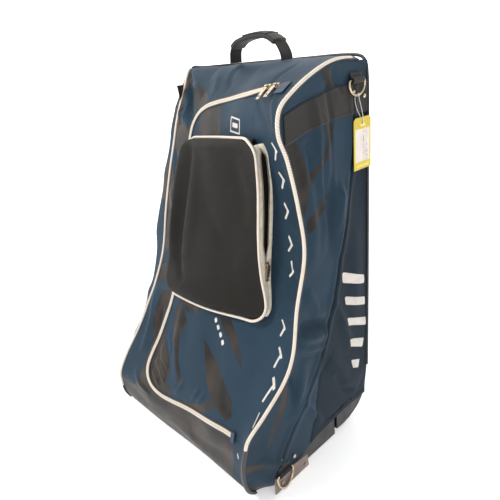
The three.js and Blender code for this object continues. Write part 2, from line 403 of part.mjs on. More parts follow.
// Folded webbing loop round the ring's bar, with a tail down (or up) the panel: section in XZ, extruded along Y.
function keeper(y0, y1, z, tail) {
  const k = 5.2, s = new THREE.Shape([[-k, -4.8], [k - 2, -4.8], [k, -2.4], [k, 2.4], [k - 2, 4.8], [-k, 4.8]].map(([x, zz]) => new THREE.Vector2(x, zz)));
  const h = new THREE.Path(); for (let i = 0; i < 12; i++) { const a = -(i / 12) * 2 * Math.PI; i ? h.lineTo(3.3 * Math.cos(a), 3.3 * Math.sin(a)) : h.moveTo(3.3, 0); } h.closePath(); s.holes.push(h);
  const g = new THREE.ExtrudeGeometry(s, { depth: y1 - y0, bevelEnabled: false, curveSegments: 1 });
  g.applyMatrix4(new THREE.Matrix4().set(1, 0, 0, RING_X, 0, 0, 1, y0, 0, 1, 0, z, 0, 0, 0, 1));
  const zs = tail > 0 ? [z + 3, z + 3 + tail] : [z - 3 + tail, z - 3];
  return join(mirrorFix(g), box(RING_X - k, RING_X - k + 2.2, y0, y1, zs[0], zs[1]));
}
const mirrorFix = (g) => { const c = g.clone(); c.deleteAttribute('normal'); c.deleteAttribute('uv'); const m = mergeVertices(c, 1e-5), a = m.index.array; for (let i = 0; i < a.length; i += 3) { const t = a[i + 1]; a[i + 1] = a[i + 2]; a[i + 2] = t; } return m; };
const UP = { y: 157, z: 873, half: 27, drop: 30 }, LO = { y: -139, z: 51, half: 26, drop: 45 };
const rivet = (y, z, x, t = 2.4) => disc(5, t, 12, [x + t / 2, y, z], [1, 0, 0]);
const bracket = () => join(plateX([[-170, 2], [-52, 2], [-54, 37], [-169, 47]], 298.2, 301.2), rivet(-65, 14, 301.1), rivet(-146, 22, 301.1));
const sided = (name, make, ...m) => { mesh('right_' + name, make(), ...m); mesh('left_' + name, mirrorX(make()), ...m); };
mesh('right_upper_ring', loop(dRing(UP.y, UP.z, UP.half, UP.drop), RING_ROD, RING_X), NICKEL, 0.3, 1);
mesh('right_upper_ring_tab', keeper(UP.y - 20, UP.y + 20, UP.z, 12), BLACKER, 0.6);
sided('lower_bracket', bracket, TAUPE, 0.5);
mesh('right_lower_ring', loop(dRing(LO.y, LO.z, LO.half, LO.drop), RING_ROD, RING_X), NICKEL, 0.3, 1);
mesh('right_lower_ring_tab', keeper(LO.y - 19, LO.y + 19, LO.z, 16), BLACKER, 0.6);

// ---- top handle -----------------------------------------------------------------------------------------------------
// Webbing strap drawn in the XZ plane and extruded along Y, with a wrapped sleeve round its middle.
const HANDLE = [[-76, 926], [-75, 940], [-69, 954], [-52, 966], [-27, 971.5], [0, 974], [30, 975], [56, 970], [76, 958.5], [88, 943], [94, 926]];
const sheetXZ = (pts, t, y0, y1) => {
  const c = new THREE.CatmullRomCurve3(pts.map(([x, z]) => new THREE.Vector3(x, z, 0)), false, 'centripetal').getSpacedPoints(16);
  const nrm = c.map((p, i) => { const a = c[Math.max(0, i - 1)], b = c[Math.min(c.length - 1, i + 1)], l = Math.hypot(b.x - a.x, b.y - a.y); return [-(b.y - a.y) / l, (b.x - a.x) / l]; });
  const up = c.map((p, i) => new THREE.Vector2(p.x + nrm[i][0] * t / 2, p.y + nrm[i][1] * t / 2)), dn = c.map((p, i) => new THREE.Vector2(p.x - nrm[i][0] * t / 2, p.y - nrm[i][1] * t / 2));
  const g = new THREE.ExtrudeGeometry(new THREE.Shape([...up, ...dn.reverse()]), { depth: y1 - y0, bevelEnabled: false });
  g.applyMatrix4(new THREE.Matrix4().set(1, 0, 0, 0, 0, 0, 1, y0, 0, 1, 0, 0, 0, 0, 0, 1)); return mirrorFix(g);
};
const HY = 184;
mesh('handle_strap', sheetXZ(HANDLE, 3.6, HY - 19, HY + 19), BLACK, 0.85);
mesh('handle_sleeve', cut(sheetXZ(HANDLE.slice(3, 8), 15, HY - 22.5, HY + 22.5), sheetXZ(HANDLE, 4.6, HY - 19.6, HY + 19.6)), BLACKER, 0.7);


// ---- front pocket, riding on the door ------------------------------------------------------------------------------
const onDoor = (x, z, h) => { const [a, b] = inverse(x, z); return add(front(a, b), frontNormal(a, b), h); };
const PK = POCKET;
function tableAt(tab, w) {                             // smooth curve through evenly spaced values
  const q = clamp(w, 0, 1) * (tab.length - 1), i = Math.min(tab.length - 2, Math.floor(q)), t = q - i, k = (j) => tab[clamp(j, 0, tab.length - 1)];
  const a = k(i - 1), c = k(i), d = k(i + 1), e = k(i + 2);
  return 0.5 * (2 * c + (d - a) * t + (2 * a - 5 * c + 4 * d - e) * t * t + (3 * c - a - 3 * d + e) * t * t * t);
}
const pocketW = (Z) => (Z - PK.z0) / (PK.z1 - PK.z0);
function onPocket(X, Z, h, dx = 0) {                   // the pocket's own rectangle, drawn out to its real, leaning outline
  const t = (X - PK.x0) / (PK.x1 - PK.x0), w = pocketW(Z), x = PK.x0 + t * (tableAt(POCKET_EDGE, w) - PK.x0), lo = 358.5 + 0.055 * x, hi = 757 + 0.115 * x;
  const q = onDoor(x, lo + w * (hi - lo), h); return [q[0] + dx, q[1], q[2]];
}
function pocketEdge(inset, n = 6) {                    // rounded outline, from the middle of the lower left corner, clockwise in four runs
  const x0 = PK.x0 + inset, x1 = PK.x1 - inset, z0 = PK.z0 + inset, z1 = PK.z1 - inset, r = PK.r - inset;
  const arc = (cx, cz, a0, a1) => Array.from({ length: n + 1 }, (_, i) => { const a = (a0 + (a1 - a0) * i / n) * Math.PI / 180; return [cx + r * Math.cos(a), cz + r * Math.sin(a)]; });
  return {
    left: [...arc(x0 + r, z0 + r, 225, 180), ...arc(x0 + r, z1 - r, 180, 135)],
    top: [...arc(x0 + r, z1 - r, 135, 90), ...arc(x1 - r, z1 - r, 90, 45)],
    right: [...arc(x1 - r, z0 + r, -45, 0), ...arc(x1 - r, z1 - r, 0, 45)],
    bottom: [...arc(x0 + r, z0 + r, 225, 270), ...arc(x1 - r, z0 + r, 270, 315)],
  };
}
const wallHeight = (Z) => tableAt(POCKET_WALL, pocketW(Z));
const pocketDepth = (X, Z) => PK.depth + (wallHeight(Z) - PK.depth) * smooth((X - 20) / 180);
function pocketRise(X, Z) {                            // 0 at the sewn edges, 1 inside; the zipped right side stays open
  const r = PK.r, cx = Math.max(X, PK.x0 + r) , cz = clamp(Z, PK.z0 + r, PK.z1 - r);
  return smooth((r - Math.hypot(X - cx, Z - cz)) / 26);
}
const edgeSteps = [0, 0.05, 0.11, 0.2, 0.35, 0.5, 0.65, 0.8, 0.89, 0.95, 1];
{
  const e = pocketEdge(0);
  const P = coons(along(e.bottom), along(e.top), along(e.left), along(e.right), edgeSteps, edgeSteps, (x, z) => onPocket(x, z, 4.4 + (pocketDepth(x, z) - 4.4) * pocketRise(x, z)));
  mesh('pocket_panel', skin(P, 2.4), BLACK, 0.6);
  // Piping along the bottom, left and top of the pocket's front edge, standing against the pocket wall.
  const rim = pocketEdge(-0.8, 5), zb = rim.bottom[5][1], zt = rim.top[5][1], xr = PK.x1 - PK.r - 8;
  const xs = [xr, xr - 58, xr - 116, xr - 174, xr - 230], zs = [0.12, 0.26, 0.4, 0.55, 0.7, 0.84].map((t) => zb + PK.r + (zt - zb - 2 * PK.r) * t);
  const ring = [...xs.map((x) => [x, zb]), ...rim.bottom.slice(0, 5).reverse(), ...rim.left.slice(1, 6), ...zs.map((z) => [rim.left[5][0], z]), ...rim.left.slice(7), ...rim.top.slice(1, 5), ...xs.slice().reverse().map((x) => [x, zt])];
  mesh('pocket_piping', tube(ring.map(([x, z]) => onPocket(x, z, 4.4 + 0.34 * (pocketDepth(x, z) - 4.4))), POCKET_PIPE_R, 40, 6), CREAM, 0.6);
}
// Zip tapes down the pocket's right side: one on the panel's edge, one on the door, meeting below the slider, an open mouth above it.
const SLIDER_Z = 482;
const mouth = (Z) => smooth((Z - SLIDER_Z - 6) / 44) * smooth((738 - Z) / 30);
const upperEdge = (Z) => wallHeight(Z) * (0.42 + 0.2 * mouth(Z)) + 0.4, lowerEdge = (Z) => Math.max(5, wallHeight(Z) * (0.42 - 0.2 * mouth(Z)) - 0.4);
const zr = (a, n) => Array.from({ length: n + 1 }, (_, i) => a + (PK.z1 - PK.r - a) * i / n);
const sideTape = (dx, h0, h1) => slab([zr(400, 16).map((z) => onPocket(PK.x1, z, h0(z), dx)), zr(400, 16).map((z) => onPocket(PK.x1, z, h1(z), dx))], (p, i, j) => add(p, [1.6, 0, 0]));
mesh('pocket_zip_tape_front', sideTape(0.9, upperEdge, (z) => wallHeight(z) + 0.5), TAPE, 0.7);
mesh('pocket_zip_tape_door', sideTape(0.9, () => 3.0, lowerEdge), TAPE, 0.7);
{ // slider and pull at the foot of the open mouth
  const q = onPocket(PK.x1, SLIDER_Z, 0.42 * wallHeight(SLIDER_Z), 3.9);
  mesh('pocket_slider', join(box(q[0], q[0] + 3.6, q[1] - 5, q[1] + 5, q[2] - 8, q[2] + 6), box(q[0] + 3.5, q[0] + 6.4, q[1] - 2, q[1] + 2, q[2] - 4, q[2] + 3)), NICKEL, 0.3, 1);
  const lean = (g) => { g.translate(-q[0] - 8, -q[1], -q[2]); g.rotateX(-0.26); g.translate(q[0] + 8, q[1], q[2]); return g; };
  const pull = cut(box(q[0] + 7, q[0] + 8.8, q[1] - 4.5, q[1] + 4.5, q[2] - 36, q[2] + 1), box(q[0], q[0] + 12, q[1] - 2, q[1] + 2, q[2] - 32, q[2] - 27));
  mesh('pocket_zip_pull', lean(pull), NICKEL, 0.3, 1);
}

// ---- door zip: end tabs, sliders and pulls ----------------------------------------------------------------------
function zipFrame(f) {                                 // f: fraction of the zip's length
  const at = (q) => { const p = zipCurve.getPointAt(clamp(q, 0, 1)), [a, b] = inverse(p.x, p.z); return [front(a, b), frontNormal(a, b)]; };
  const [p, n] = at(f), t = unit(sub(at(f + 0.004)[0], at(f - 0.004)[0])), k = Math.round(f * ZN), d = unit(cross(n, t)), flip = dot(d, zipIn[k]) < 0 ? -1 : 1;
  const y = d.map((c) => c * flip); return { p, n, y, x: cross(y, n) };
}
function framed(g, f, lift, name, ...m) {              // place a piece drawn with X along the zip, Y towards the door, Z out of the fabric
  const { p, n, y: yv, x: xv } = zipFrame(f), o = add(p, n, lift);
  const m4 = new THREE.Matrix4().makeBasis(new THREE.Vector3(...xv), new THREE.Vector3(...yv), new THREE.Vector3(...n)).setPosition(...o);
  const h = g.clone(); h.applyMatrix4(m4); return mesh(name, h, ...m);
}
framed(box(-13, 12, -9, 24, 0, 2.4), 0.998, 2.0, 'zip_end_tab_upper', NAVY_DK, 0.6);
framed(box(-6, 6, -12, 12, 0, 2.4), 0.002, 1.8, 'zip_end_tab_lower', NAVY_DK, 0.6);
const sliderG = () => join(box(-8, 8, -6.5, 6.5, 0, 5), box(-5, 5, -2, 2, 4.9, 8.5));
const pullG = () => cut(join(box(-5, 5, 5.2, 37, 5.6, 7.4), box(-2.5, 2.5, 2.6, 5.3, 5.6, 7.4)), box(-2.4, 2.4, 28, 33, 0, 12));
const SL1 = 0.9655, SL2 = 0.982, SLIFT = 1.75;
framed(sliderG(), SL1, SLIFT, 'main_zip_slider', NICKEL, 0.3, 1);
framed(pullG(), SL1, SLIFT, 'main_zip_pull', NICKEL, 0.3, 1);
framed(sliderG(), SL2, SLIFT, 'second_zip_slider', NICKEL, 0.3, 1);
framed(pullG(), SL2, SLIFT, 'second_zip_pull', NICKEL, 0.3, 1);

// ---- fold-up shelves inside ------------------------------------------------------------------------------------
mesh('upper_shelf', box(-232, 268, 46, 188, 557, 557 + SHELF_T), 0x26272a, 0.7);
mesh('lower_shelf', box(-232, 268, -12, 188, 330, 330 + SHELF_T), 0x26272a, 0.7);

// ---- hang tag on its string -------------------------------------------------------------------------------------
const TAG_X = 306.6;
mesh('hang_tag', plateX([[141, 686], [204, 686], [204, 792], [198, 797], [147, 797], [141, 792]], TAG_X, TAG_X + 1.2, [[[170, 782], [170, 787], [175, 787], [175, 782]]]), 0xe0c030, 0.5);
mesh('tag_string', tube([[305.4, 156.5, 847.2], [308.8, 156.5, 846.7], [309.9, 158, 838], [309.8, 166, 820], [309.7, 171, 800], [309.3, 172.4, 790], [308.6, 172.6, 784.8], [305.2, 172.6, 784.8], [304.4, 170, 796], [303.0, 162, 816], [302.1, 158, 834], [302.05, 157, 845]], 0.6, 40, 8), 0xeeeeea, 0.8);

// Origin at the centre of the footprint, on the floor.
const all = new THREE.Box3().setFromObject(group), mid = all.getCenter(new THREE.Vector3());
for (const m of group.children) m.geometry.translate(-mid.x, -mid.y, -all.min.z);

export default group;
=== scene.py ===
# Looks for the standing wheeled hockey bag: soft printed fabric, piping, zips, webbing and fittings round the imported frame.
import math
import bpy
import numpy as np
from mathutils import Matrix, Vector


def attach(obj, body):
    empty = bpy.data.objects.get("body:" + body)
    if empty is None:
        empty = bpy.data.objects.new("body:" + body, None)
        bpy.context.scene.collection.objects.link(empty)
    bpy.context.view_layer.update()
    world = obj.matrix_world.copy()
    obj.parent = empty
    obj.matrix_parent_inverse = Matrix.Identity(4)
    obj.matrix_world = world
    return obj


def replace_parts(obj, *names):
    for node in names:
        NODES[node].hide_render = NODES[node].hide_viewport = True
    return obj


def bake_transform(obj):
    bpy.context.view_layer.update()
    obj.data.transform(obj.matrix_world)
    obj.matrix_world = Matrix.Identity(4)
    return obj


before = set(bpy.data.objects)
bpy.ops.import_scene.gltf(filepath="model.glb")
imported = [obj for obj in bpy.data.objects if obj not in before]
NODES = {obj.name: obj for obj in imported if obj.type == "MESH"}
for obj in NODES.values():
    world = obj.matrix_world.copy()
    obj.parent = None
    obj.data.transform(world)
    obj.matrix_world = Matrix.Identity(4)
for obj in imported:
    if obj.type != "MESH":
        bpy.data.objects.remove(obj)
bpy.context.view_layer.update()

SX, SY = -3.557, 12.479                       # the part's origin shift, mm
CORE = np.array([0.0, 120.0, 450.0])

# ------------------------------------------------------------------------------------------------ camera
az, el, roll = (math.radians(v) for v in (47.1, 22.3, -5.36))
dirv = np.array([math.sin(az) * math.cos(el), -math.cos(az) * math.cos(el), math.sin(el)])
campos = np.array([49.7, 53.6, 474.0]) + 1291.5 * dirv + [SX, SY, 0]
fwd = -dirv
right = np.cross(fwd, [0, 0, 1]); right /= np.linalg.norm(right)
up = np.cross(right, fwd)
Rv = math.cos(roll) * right + math.sin(roll) * up
Uv = -math.sin(roll) * right + math.cos(roll) * up
cam_data = bpy.data.cameras.new("photo_camera")
cam_data.sensor_width = 36.0
cam_data.lens = 506.2 / 500 * 36.0
cam_data.clip_start, cam_data.clip_end = 0.05, 60
cam = bpy.data.objects.new("photo_camera", cam_data)
bpy.context.scene.collection.objects.link(cam)
cam.matrix_world = Matrix(((Rv[0], Uv[0], -fwd[0], campos[0] / 1000), (Rv[1], Uv[1], -fwd[1], campos[1] / 1000), (Rv[2], Uv[2], -fwd[2], campos[2] / 1000), (0, 0, 0, 1)))
bpy.context.scene.camera = cam


# ------------------------------------------------------------------------------------------------ materials
class Mat:
    """A small builder for node materials."""

    def __init__(self, name):
        self.m = bpy.data.materials.new(name)
        self.m.use_nodes = True
        self.t = self.m.node_tree
        self.b = self.t.nodes["Principled BSDF"]

    def node(self, kind, **props):
        n = self.t.nodes.new(kind)
        for k, v in props.items():
            setattr(n, k, v)
        return n

    def put(self, sock, value):
        if isinstance(value, bpy.types.NodeSocket):
            self.t.links.new(value, sock)
        elif value is not None:
            sock.default_value = value
        return self

    def math(self, op, a, b=None, c=None, clamp=False):
        n = self.node("ShaderNodeMath", operation=op, use_clamp=clamp)
        for i, v in enumerate((a, b, c)):
            if v is not None:
                self.put(n.inputs[i], v)
        return n.outputs[0]

    def ramp(self, v, lo, hi, a=0.0, b=1.0, smooth=True):
        n = self.node("ShaderNodeMapRange", interpolation_type="SMOOTHSTEP" if smooth else "LINEAR")
        for i, x in enumerate((v, lo, hi, a, b)):
            self.put(n.inputs[i], x)
        return n.outputs[0]

    def mix(self, f, a, b):
        n = self.node("ShaderNodeMix", data_type="RGBA")
        self.put(n.inputs[0], f)
        for i, v in ((6, a), (7, b)):
            self.put(n.inputs[i], v if isinstance(v, bpy.types.NodeSocket) else (*v, 1.0))
        return n.outputs[2]

    def noise(self, vec, scale, detail=3.0, rough=0.5):
        n = self.node("ShaderNodeTexNoise")
        self.put(n.inputs["Vector"], vec)
        self.put(n.inputs["Scale"], scale); self.put(n.inputs["Detail"], detail); self.put(n.inputs["Roughness"], rough)
        return n.outputs["Fac"]

    def attr(self, name):
        return self.node("ShaderNodeAttribute", attribute_name=name).outputs["Fac"]

    def uv(self):
        return self.node("ShaderNodeUVMap", uv_map="UVMap").outputs[0]

    def obj(self):
        return self.node("ShaderNodeTexCoord").outputs["Object"]

    def xyz(self, vec):
        n = self.node("ShaderNodeSeparateXYZ"); self.put(n.inputs[0], vec)
        return n.outputs[0], n.outputs[1], n.outputs[2]

    def bump(self, height, distance, strength=1.0, normal=None):
        n = self.node("ShaderNodeBump")
        self.put(n.inputs["Height"], height); self.put(n.inputs["Distance"], distance); self.put(n.inputs["Strength"], strength)
        if normal is not None:
            self.put(n.inputs["Normal"], normal)
        return n.outputs[0]

    def weave(self, uv, period):
        u, v, _ = self.xyz(uv)
        k = 2 * math.pi / period
        return self.math("MULTIPLY", self.math("SINE", self.math("MULTIPLY", u, k)), self.math("SINE", self.math("MULTIPLY", v, k)))

    def out(self, color=None, rough=None, metal=None, normal=None, sheen=None, coat=None, spec=None):
        i = self.b.inputs
        if color is not None:
            self.put(i["Base Color"], color if isinstance(color, bpy.types.NodeSocket) else (*color, 1.0))
        if rough is not None: self.put(i["Roughness"], rough)
        if metal is not None: i["Metallic"].default_value = metal
        if normal is not None: self.put(i["Normal"], normal)
        if sheen is not None:
            i["Sheen Weight"].default_value = sheen; i["Sheen Roughness"].default_value = 0.45
        if coat is not None:
            i["Coat Weight"].default_value = coat; i["Coat Roughness"].default_value = 0.25
        if spec is not None: i["Specular IOR Level"].default_value = spec
        return self.m


def hexc(r, g, b):
    f = lambda c: ((c / 255 + 0.055) / 1.055) ** 2.4 if c > 10 else c / 255 / 12.92
    return (f(r), f(g), f(b))


def printed_fabric(name, base, base2, ink=(27, 25, 24), ink2=(54, 45, 38), weave=0.0011, rough=0.62, crinkle=0.5):
    """Woven polyester with a glossy brush-stroke print (attribute ink), pale transfer shapes (pale) and shading along seams (seam)."""
    m = Mat(name)
    uv = m.uv()
    big, mid, fine = m.noise(uv, 5.0, 3), m.noise(uv, 38.0, 5, 0.6), m.noise(uv, 900.0, 2)
    d = m.math("ADD", m.attr("ink"), m.math("MULTIPLY", m.math("SUBTRACT", mid, 0.5), 5.0))
    k = m.ramp(d, 0.8, -0.8)
    pale = m.ramp(m.attr("pale"), 0.35, -0.35)
    cloth = m.mix(m.ramp(big, 0.3, 0.7), hexc(*base), hexc(*base2))
    cloth = m.mix(m.ramp(fine, 0.35, 0.75, 0.0, 0.25), cloth, hexc(*[min(255, int(c * 1.35)) for c in base]))
    inkc = m.mix(m.ramp(m.noise(uv, 14.0, 2), 0.35, 0.7), hexc(*ink), hexc(*ink2))
    col = m.mix(k, cloth, inkc)
    col = m.mix(pale, col, m.mix(m.ramp(mid, 0.3, 0.8), hexc(214, 208, 200), hexc(196, 190, 184)))
    seam = m.ramp(m.attr("seam"), 0.0, 7.0)
    col = m.mix(m.math("MULTIPLY", m.math("SUBTRACT", 1.0, seam), 0.55), col, (0.006, 0.008, 0.012))
    r = m.math("SUBTRACT", rough, m.math("MULTIPLY", k, 0.2))
    r = m.math("ADD", r, m.math("MULTIPLY", m.math("SUBTRACT", mid, 0.5), 0.12))
    st = m.attr("stitch")
    h = m.math("MULTIPLY", m.weave(uv, weave), 0.00009)
    h = m.math("ADD", h, m.math("MULTIPLY", mid, 0.0011 * crinkle))
    h = m.math("ADD", h, m.math("MULTIPLY", m.noise(uv, 110.0, 3), 0.0004 * crinkle))
    h = m.math("ADD", h, m.math("MULTIPLY", st, 0.0009))
    return m.out(col, r, 0.0, m.bump(h, 1.0, 0.55), sheen=0.03, spec=0.2)


NAVY = printed_fabric("navy_print", (31, 53, 69), (23, 43, 57))
# darker copy of the navy for the rear gusset panel behind seam A: the panel is real, its darker tone is painted shade
# for that turned-in, shadowed part of the side
NAVY_SHADED = printed_fabric("navy_gusset_shaded", (17, 33, 45), (13, 28, 39), rough=0.7)
BLACK = printed_fabric("black_canvas", (31, 28, 25), (24, 22, 19), weave=0.0014, rough=0.78, crinkle=0.35)


def webbing(name, c=(29, 27, 25), period=0.0024, rough=0.8):
    m = Mat(name); uv = m.uv(); u, v, _ = m.xyz(uv)
    k = 2 * math.pi / period
    rib = m.math("SINE", m.math("ADD", m.math("MULTIPLY", u, k), m.math("MULTIPLY", m.math("SINE", m.math("MULTIPLY", v, k)), 0.8)))
    n = m.noise(uv, 420.0, 3)
    col = m.mix(m.ramp(rib, -1.0, 1.0), hexc(*[int(q * 0.7) for q in c]), hexc(*[int(q * 1.25) for q in c]))
    col = m.mix(m.ramp(n, 0.55, 0.8, 0.0, 0.3), col, hexc(96, 92, 88))
    # darkened near its edges and stitch lines (attribute seam): painted shade along the seams
    col = m.mix(m.ramp(m.attr("seam"), 3.0, 0.0, 0.0, 0.5), col, (0.004, 0.004, 0.005))
    h = m.math("ADD", m.math("MULTIPLY", rib, 0.0002), m.math("MULTIPLY", m.attr("stitch"), 0.0008))
    return m.out(col, rough, 0, m.bump(m.math("ADD", h, m.math("MULTIPLY", n, 0.0003)), 1.0, 0.8), sheen=0.08)


WEB = webbing("webbing_black")
SLEEVE = webbing("handle_wrap", (42, 41, 37), 0.0031, 0.72)


def cord_mat(name, c, c2, period=0.006, gloss=0.5):
    """Piping: a twisted rope look, u along the run in metres, v round it 0..1."""
    m = Mat(name); uv = m.uv(); u, v, _ = m.xyz(uv)
    tw = m.math("SINE", m.math("MULTIPLY", m.math("ADD", m.math("MULTIPLY", u, 1 / period), m.math("MULTIPLY", v, 3.0)), 2 * math.pi))
    n = m.noise(m.obj(), 60.0, 3)
    col = m.mix(m.ramp(tw, -1.0, -0.1), hexc(*c2), hexc(*c))
    col = m.mix(m.ramp(n, 0.5, 0.75, 0.0, 0.4), col, hexc(*c2))
    return m.out(col, gloss, 0, m.bump(tw, 0.0004, 0.4), sheen=0.05)


CREAM = cord_mat("piping_cream", (226, 214, 200), (198, 182, 166))
DARKPIPE = cord_mat("piping_black", (34, 31, 29), (18, 16, 15), gloss=0.35)


def coil_mat():
    """Zip: u along in metres, v across in metres from the centre line."""
    m = Mat("zip_coil"); u, v, _ = m.xyz(m.uv())
    av = m.math("ABSOLUTE", v)
    teeth = m.math("SINE", m.math("ADD", m.math("MULTIPLY", u, 2 * math.pi / 0.0021), m.math("MULTIPLY", m.math("SIGN", v), 1.57)))
    cream = m.mix(m.ramp(teeth, -1.0, 0.6), hexc(196, 184, 168), hexc(232, 223, 208))
    mid = m.ramp(av, 0.0007, 0.0, 0.0, 0.8)
    cream = m.mix(mid, cream, hexc(150, 138, 122))
    col = m.mix(m.ramp(av, 0.0052, 0.0058), cream, hexc(62, 50, 42))
    h = m.math("MULTIPLY", m.math("MULTIPLY", teeth, 0.0004), m.ramp(av, 0.0058, 0.0046))
    return m.out(col, 0.55, 0, m.bump(h, 1.0, 0.8))


COIL = coil_mat()


def tape_mat(name, c, c2):
    m = Mat(name); uv = m.uv(); u, v, _ = m.xyz(uv)
    rib = m.math("SINE", m.math("MULTIPLY", v, 2 * math.pi / 0.0016))
    col = m.mix(m.ramp(m.noise(uv, 70.0, 3), 0.35, 0.7), hexc(*c), hexc(*c2))
    return m.out(col, 0.7, 0, m.bump(rib, 0.0002, 0.6), sheen=0.1)


TAPE = tape_mat("zip_tape_cream", (245, 235, 214), (222, 208, 190))


def metal(name, c, rough=0.28, scale=160.0):
    m = Mat(name); o = m.obj()
    n = m.noise(o, scale, 4)
    col = m.mix(m.ramp(n, 0.35, 0.7), hexc(*c), hexc(*[int(q * 0.8) for q in c]))
    return m.out(col, m.ramp(n, 0.3, 0.7, rough - 0.06, rough + 0.12), 1.0, m.bump(n, 0.0003, 0.4))


NICKEL = metal("nickel", (214, 196, 168))
STEEL = metal("steel", (150, 152, 154), 0.4)


def plastic(name, c, rough=0.5, grain=0.0002, wear=0.25):
    m = Mat(name); o = m.obj()
    n, f = m.noise(o, 26.0, 4), m.noise(o, 1400.0, 2)
    geo = m.node("ShaderNodeNewGeometry").outputs["Pointiness"]
    edge = m.ramp(geo, 0.51, 0.6, 0.0, wear)
    col = m.mix(m.ramp(n, 0.3, 0.75), hexc(*c), hexc(*[int(q * 0.82) for q in c]))
    col = m.mix(edge, col, hexc(*[min(255, int(q * 1.5 + 12)) for q in c]))
    return m.out(col, m.ramp(n, 0.3, 0.7, rough - 0.07, rough + 0.1), 0, m.bump(f, grain, 0.7))


TAUPE = plastic("taupe_plastic", (128, 112, 102), 0.42)
BLKPL = plastic("black_plastic", (36, 35, 35), 0.45)
BOARD = plastic("board", (44, 44, 46), 0.65, 0.0004)
HUB = plastic("hub_plastic", (92, 93, 96), 0.5)
RUBBER = plastic("tyre_rubber", (30, 30, 30), 0.85, 0.0006)
STRING = tape_mat("string_white", (238, 236, 230), (220, 218, 212))


# ------------------------------------------------------------------------------------------------ geometry kit
def to_m(P):
    return (np.asarray(P, float) + [SX, SY, 0]) / 1000.0


def smooth(t):
    t = np.clip(t, 0, 1)
    return t * t * (3 - 2 * t)


def new_mesh(name, verts_m, faces, uv=None, attrs=None, material=None, shade=True):
    me = bpy.data.meshes.new(name)
    me.from_pydata([tuple(v) for v in verts_m], [], faces)
    if uv is not None:
        lay = me.uv_layers.new(name="UVMap")
        idx = np.zeros(len(me.loops), int); me.loops.foreach_get("vertex_index", idx)
        lay.data.foreach_set("uv", np.asarray(uv, np.float32)[idx].ravel())
    base = {"ink": 60.0, "pale": 60.0, "seam": 60.0, "stitch": 0.0}
    for k, dflt in base.items():
        a = me.attributes.new(k, "FLOAT", "POINT")
        val = (attrs or {}).get(k)
        a.data.foreach_set("value", (np.full(len(verts_m), dflt) if val is None else np.asarray(val)).astype(np.float32).ravel())
    if shade:
        me.polygons.foreach_set("use_smooth", [True] * len(me.polygons))
    ob = bpy.data.objects.new(name, me)
    bpy.context.scene.collection.objects.link(ob)
    if material is not None:
        me.materials.append(material)
    me.update()
    return ob


def grid_faces(nu, nv, cu=False, cv=False):
    f = []
    for i in range(nu if cu else nu - 1):
        for j in range(nv if cv else nv - 1):
            a, b = i * nv + j, ((i + 1) % nu) * nv + j
            c, d = ((i + 1) % nu) * nv + (j + 1) % nv, i * nv + (j + 1) % nv
            f.append((a, b, c, d))
    return f


def grid_normals(P):
    n = np.cross(np.gradient(P, axis=0), np.gradient(P, axis=1))
    return n / np.maximum(np.linalg.norm(n, axis=-1, keepdims=True), 1e-9)


def sheet(name, P, material, uv=None, attrs=None, thick=2.0, core=CORE, outward=None):
    """Fabric piece from a grid of outer points in mm; solid inwards by thick."""
    nu, nv = P.shape[:2]
    N = grid_normals(P)
    mid = P[nu // 2, nv // 2]
    want = (mid - core) if outward is None else np.asarray(outward)
    faces = grid_faces(nu, nv)
    if (N[nu // 2, nv // 2] @ want) < 0:
        faces = [tuple(reversed(q)) for q in faces]
    if uv is None:
        du = np.concatenate([np.zeros((1, nv)), np.cumsum(np.linalg.norm(np.diff(P, axis=0), axis=-1), 0)]).mean(1)
        dv = np.concatenate([np.zeros((nu, 1)), np.cumsum(np.linalg.norm(np.diff(P, axis=1), axis=-1), 1)], 1).mean(0)
        uv = np.stack(np.meshgrid(du, dv, indexing="ij"), -1) / 1000
    at = {k: np.asarray(v).reshape(-1) for k, v in (attrs or {}).items()}
    ob = new_mesh(name, to_m(P.reshape(-1, 3)), faces, uv.reshape(-1, 2), at, material)
    if thick:
        md = ob.modifiers.new("thickness", "SOLIDIFY"); md.thickness = thick / 1000; md.offset = -1; md.use_even_offset = False
    return ob


def frames(path, hint):
    """Tangent, side and normal along a path, the normal kept near hint."""
    path = np.asarray(path, float)
    t = np.gradient(path, axis=0); t /= np.linalg.norm(t, axis=1, keepdims=True)
    n = np.asarray(hint, float) * np.ones_like(path); n = n - (n * t).sum(1, keepdims=True) * t
    n /= np.linalg.norm(n, axis=1, keepdims=True)
    return t, np.cross(n, t), n


def sweep(name, path, hint, profile, material, closed=False, caps=True, vscale="metres", closed_path=False):
    """Sweeps a profile of (side, normal) mm along a path."""
    path = np.asarray(path, float); t, b, n = frames(path, hint)
    if closed_path:
        t = np.roll(path, -1, 0) - np.roll(path, 1, 0); t /= np.linalg.norm(t, axis=1, keepdims=True)
        n = np.asarray(hint, float) * np.ones_like(path); n = n - (n * t).sum(1, keepdims=True) * t; n /= np.linalg.norm(n, axis=1, keepdims=True); b = np.cross(n, t)
    pr = np.asarray(profile, float)
    if pr.ndim == 2:
        pr = np.repeat(pr[None], len(path), 0)
    V = path[:, None] + b[:, None] * pr[:, :, 0:1] + n[:, None] * pr[:, :, 1:2]
    nu, nv = V.shape[:2]
    d = np.concatenate([[0], np.cumsum(np.linalg.norm(np.diff(path, axis=0), axis=1))]) / 1000
    vv = (np.arange(nv) / (nv if closed else max(1, nv - 1))) if vscale == "turns" else None
    uv = np.zeros((nu, nv, 2)); uv[..., 0] = d[:, None]; uv[..., 1] = vv[None] if vv is not None else pr[:, :, 0] / 1000
    faces = grid_faces(nu, nv, closed_path, closed)
    if closed and caps and not closed_path:
        faces += [tuple(range(nv))[::-1], tuple((nu - 1) * nv + k for k in range(nv))]
    ob = new_mesh(name, to_m(V.reshape(-1, 3)), faces, uv.reshape(-1, 2), {}, material)
    fix_normals(ob)
    return ob


def fix_normals(ob):
    import bmesh
    bm = bmesh.new(); bm.from_mesh(ob.data)
    bmesh.ops.recalc_face_normals(bm, faces=bm.faces); bm.to_mesh(ob.data); bm.free()


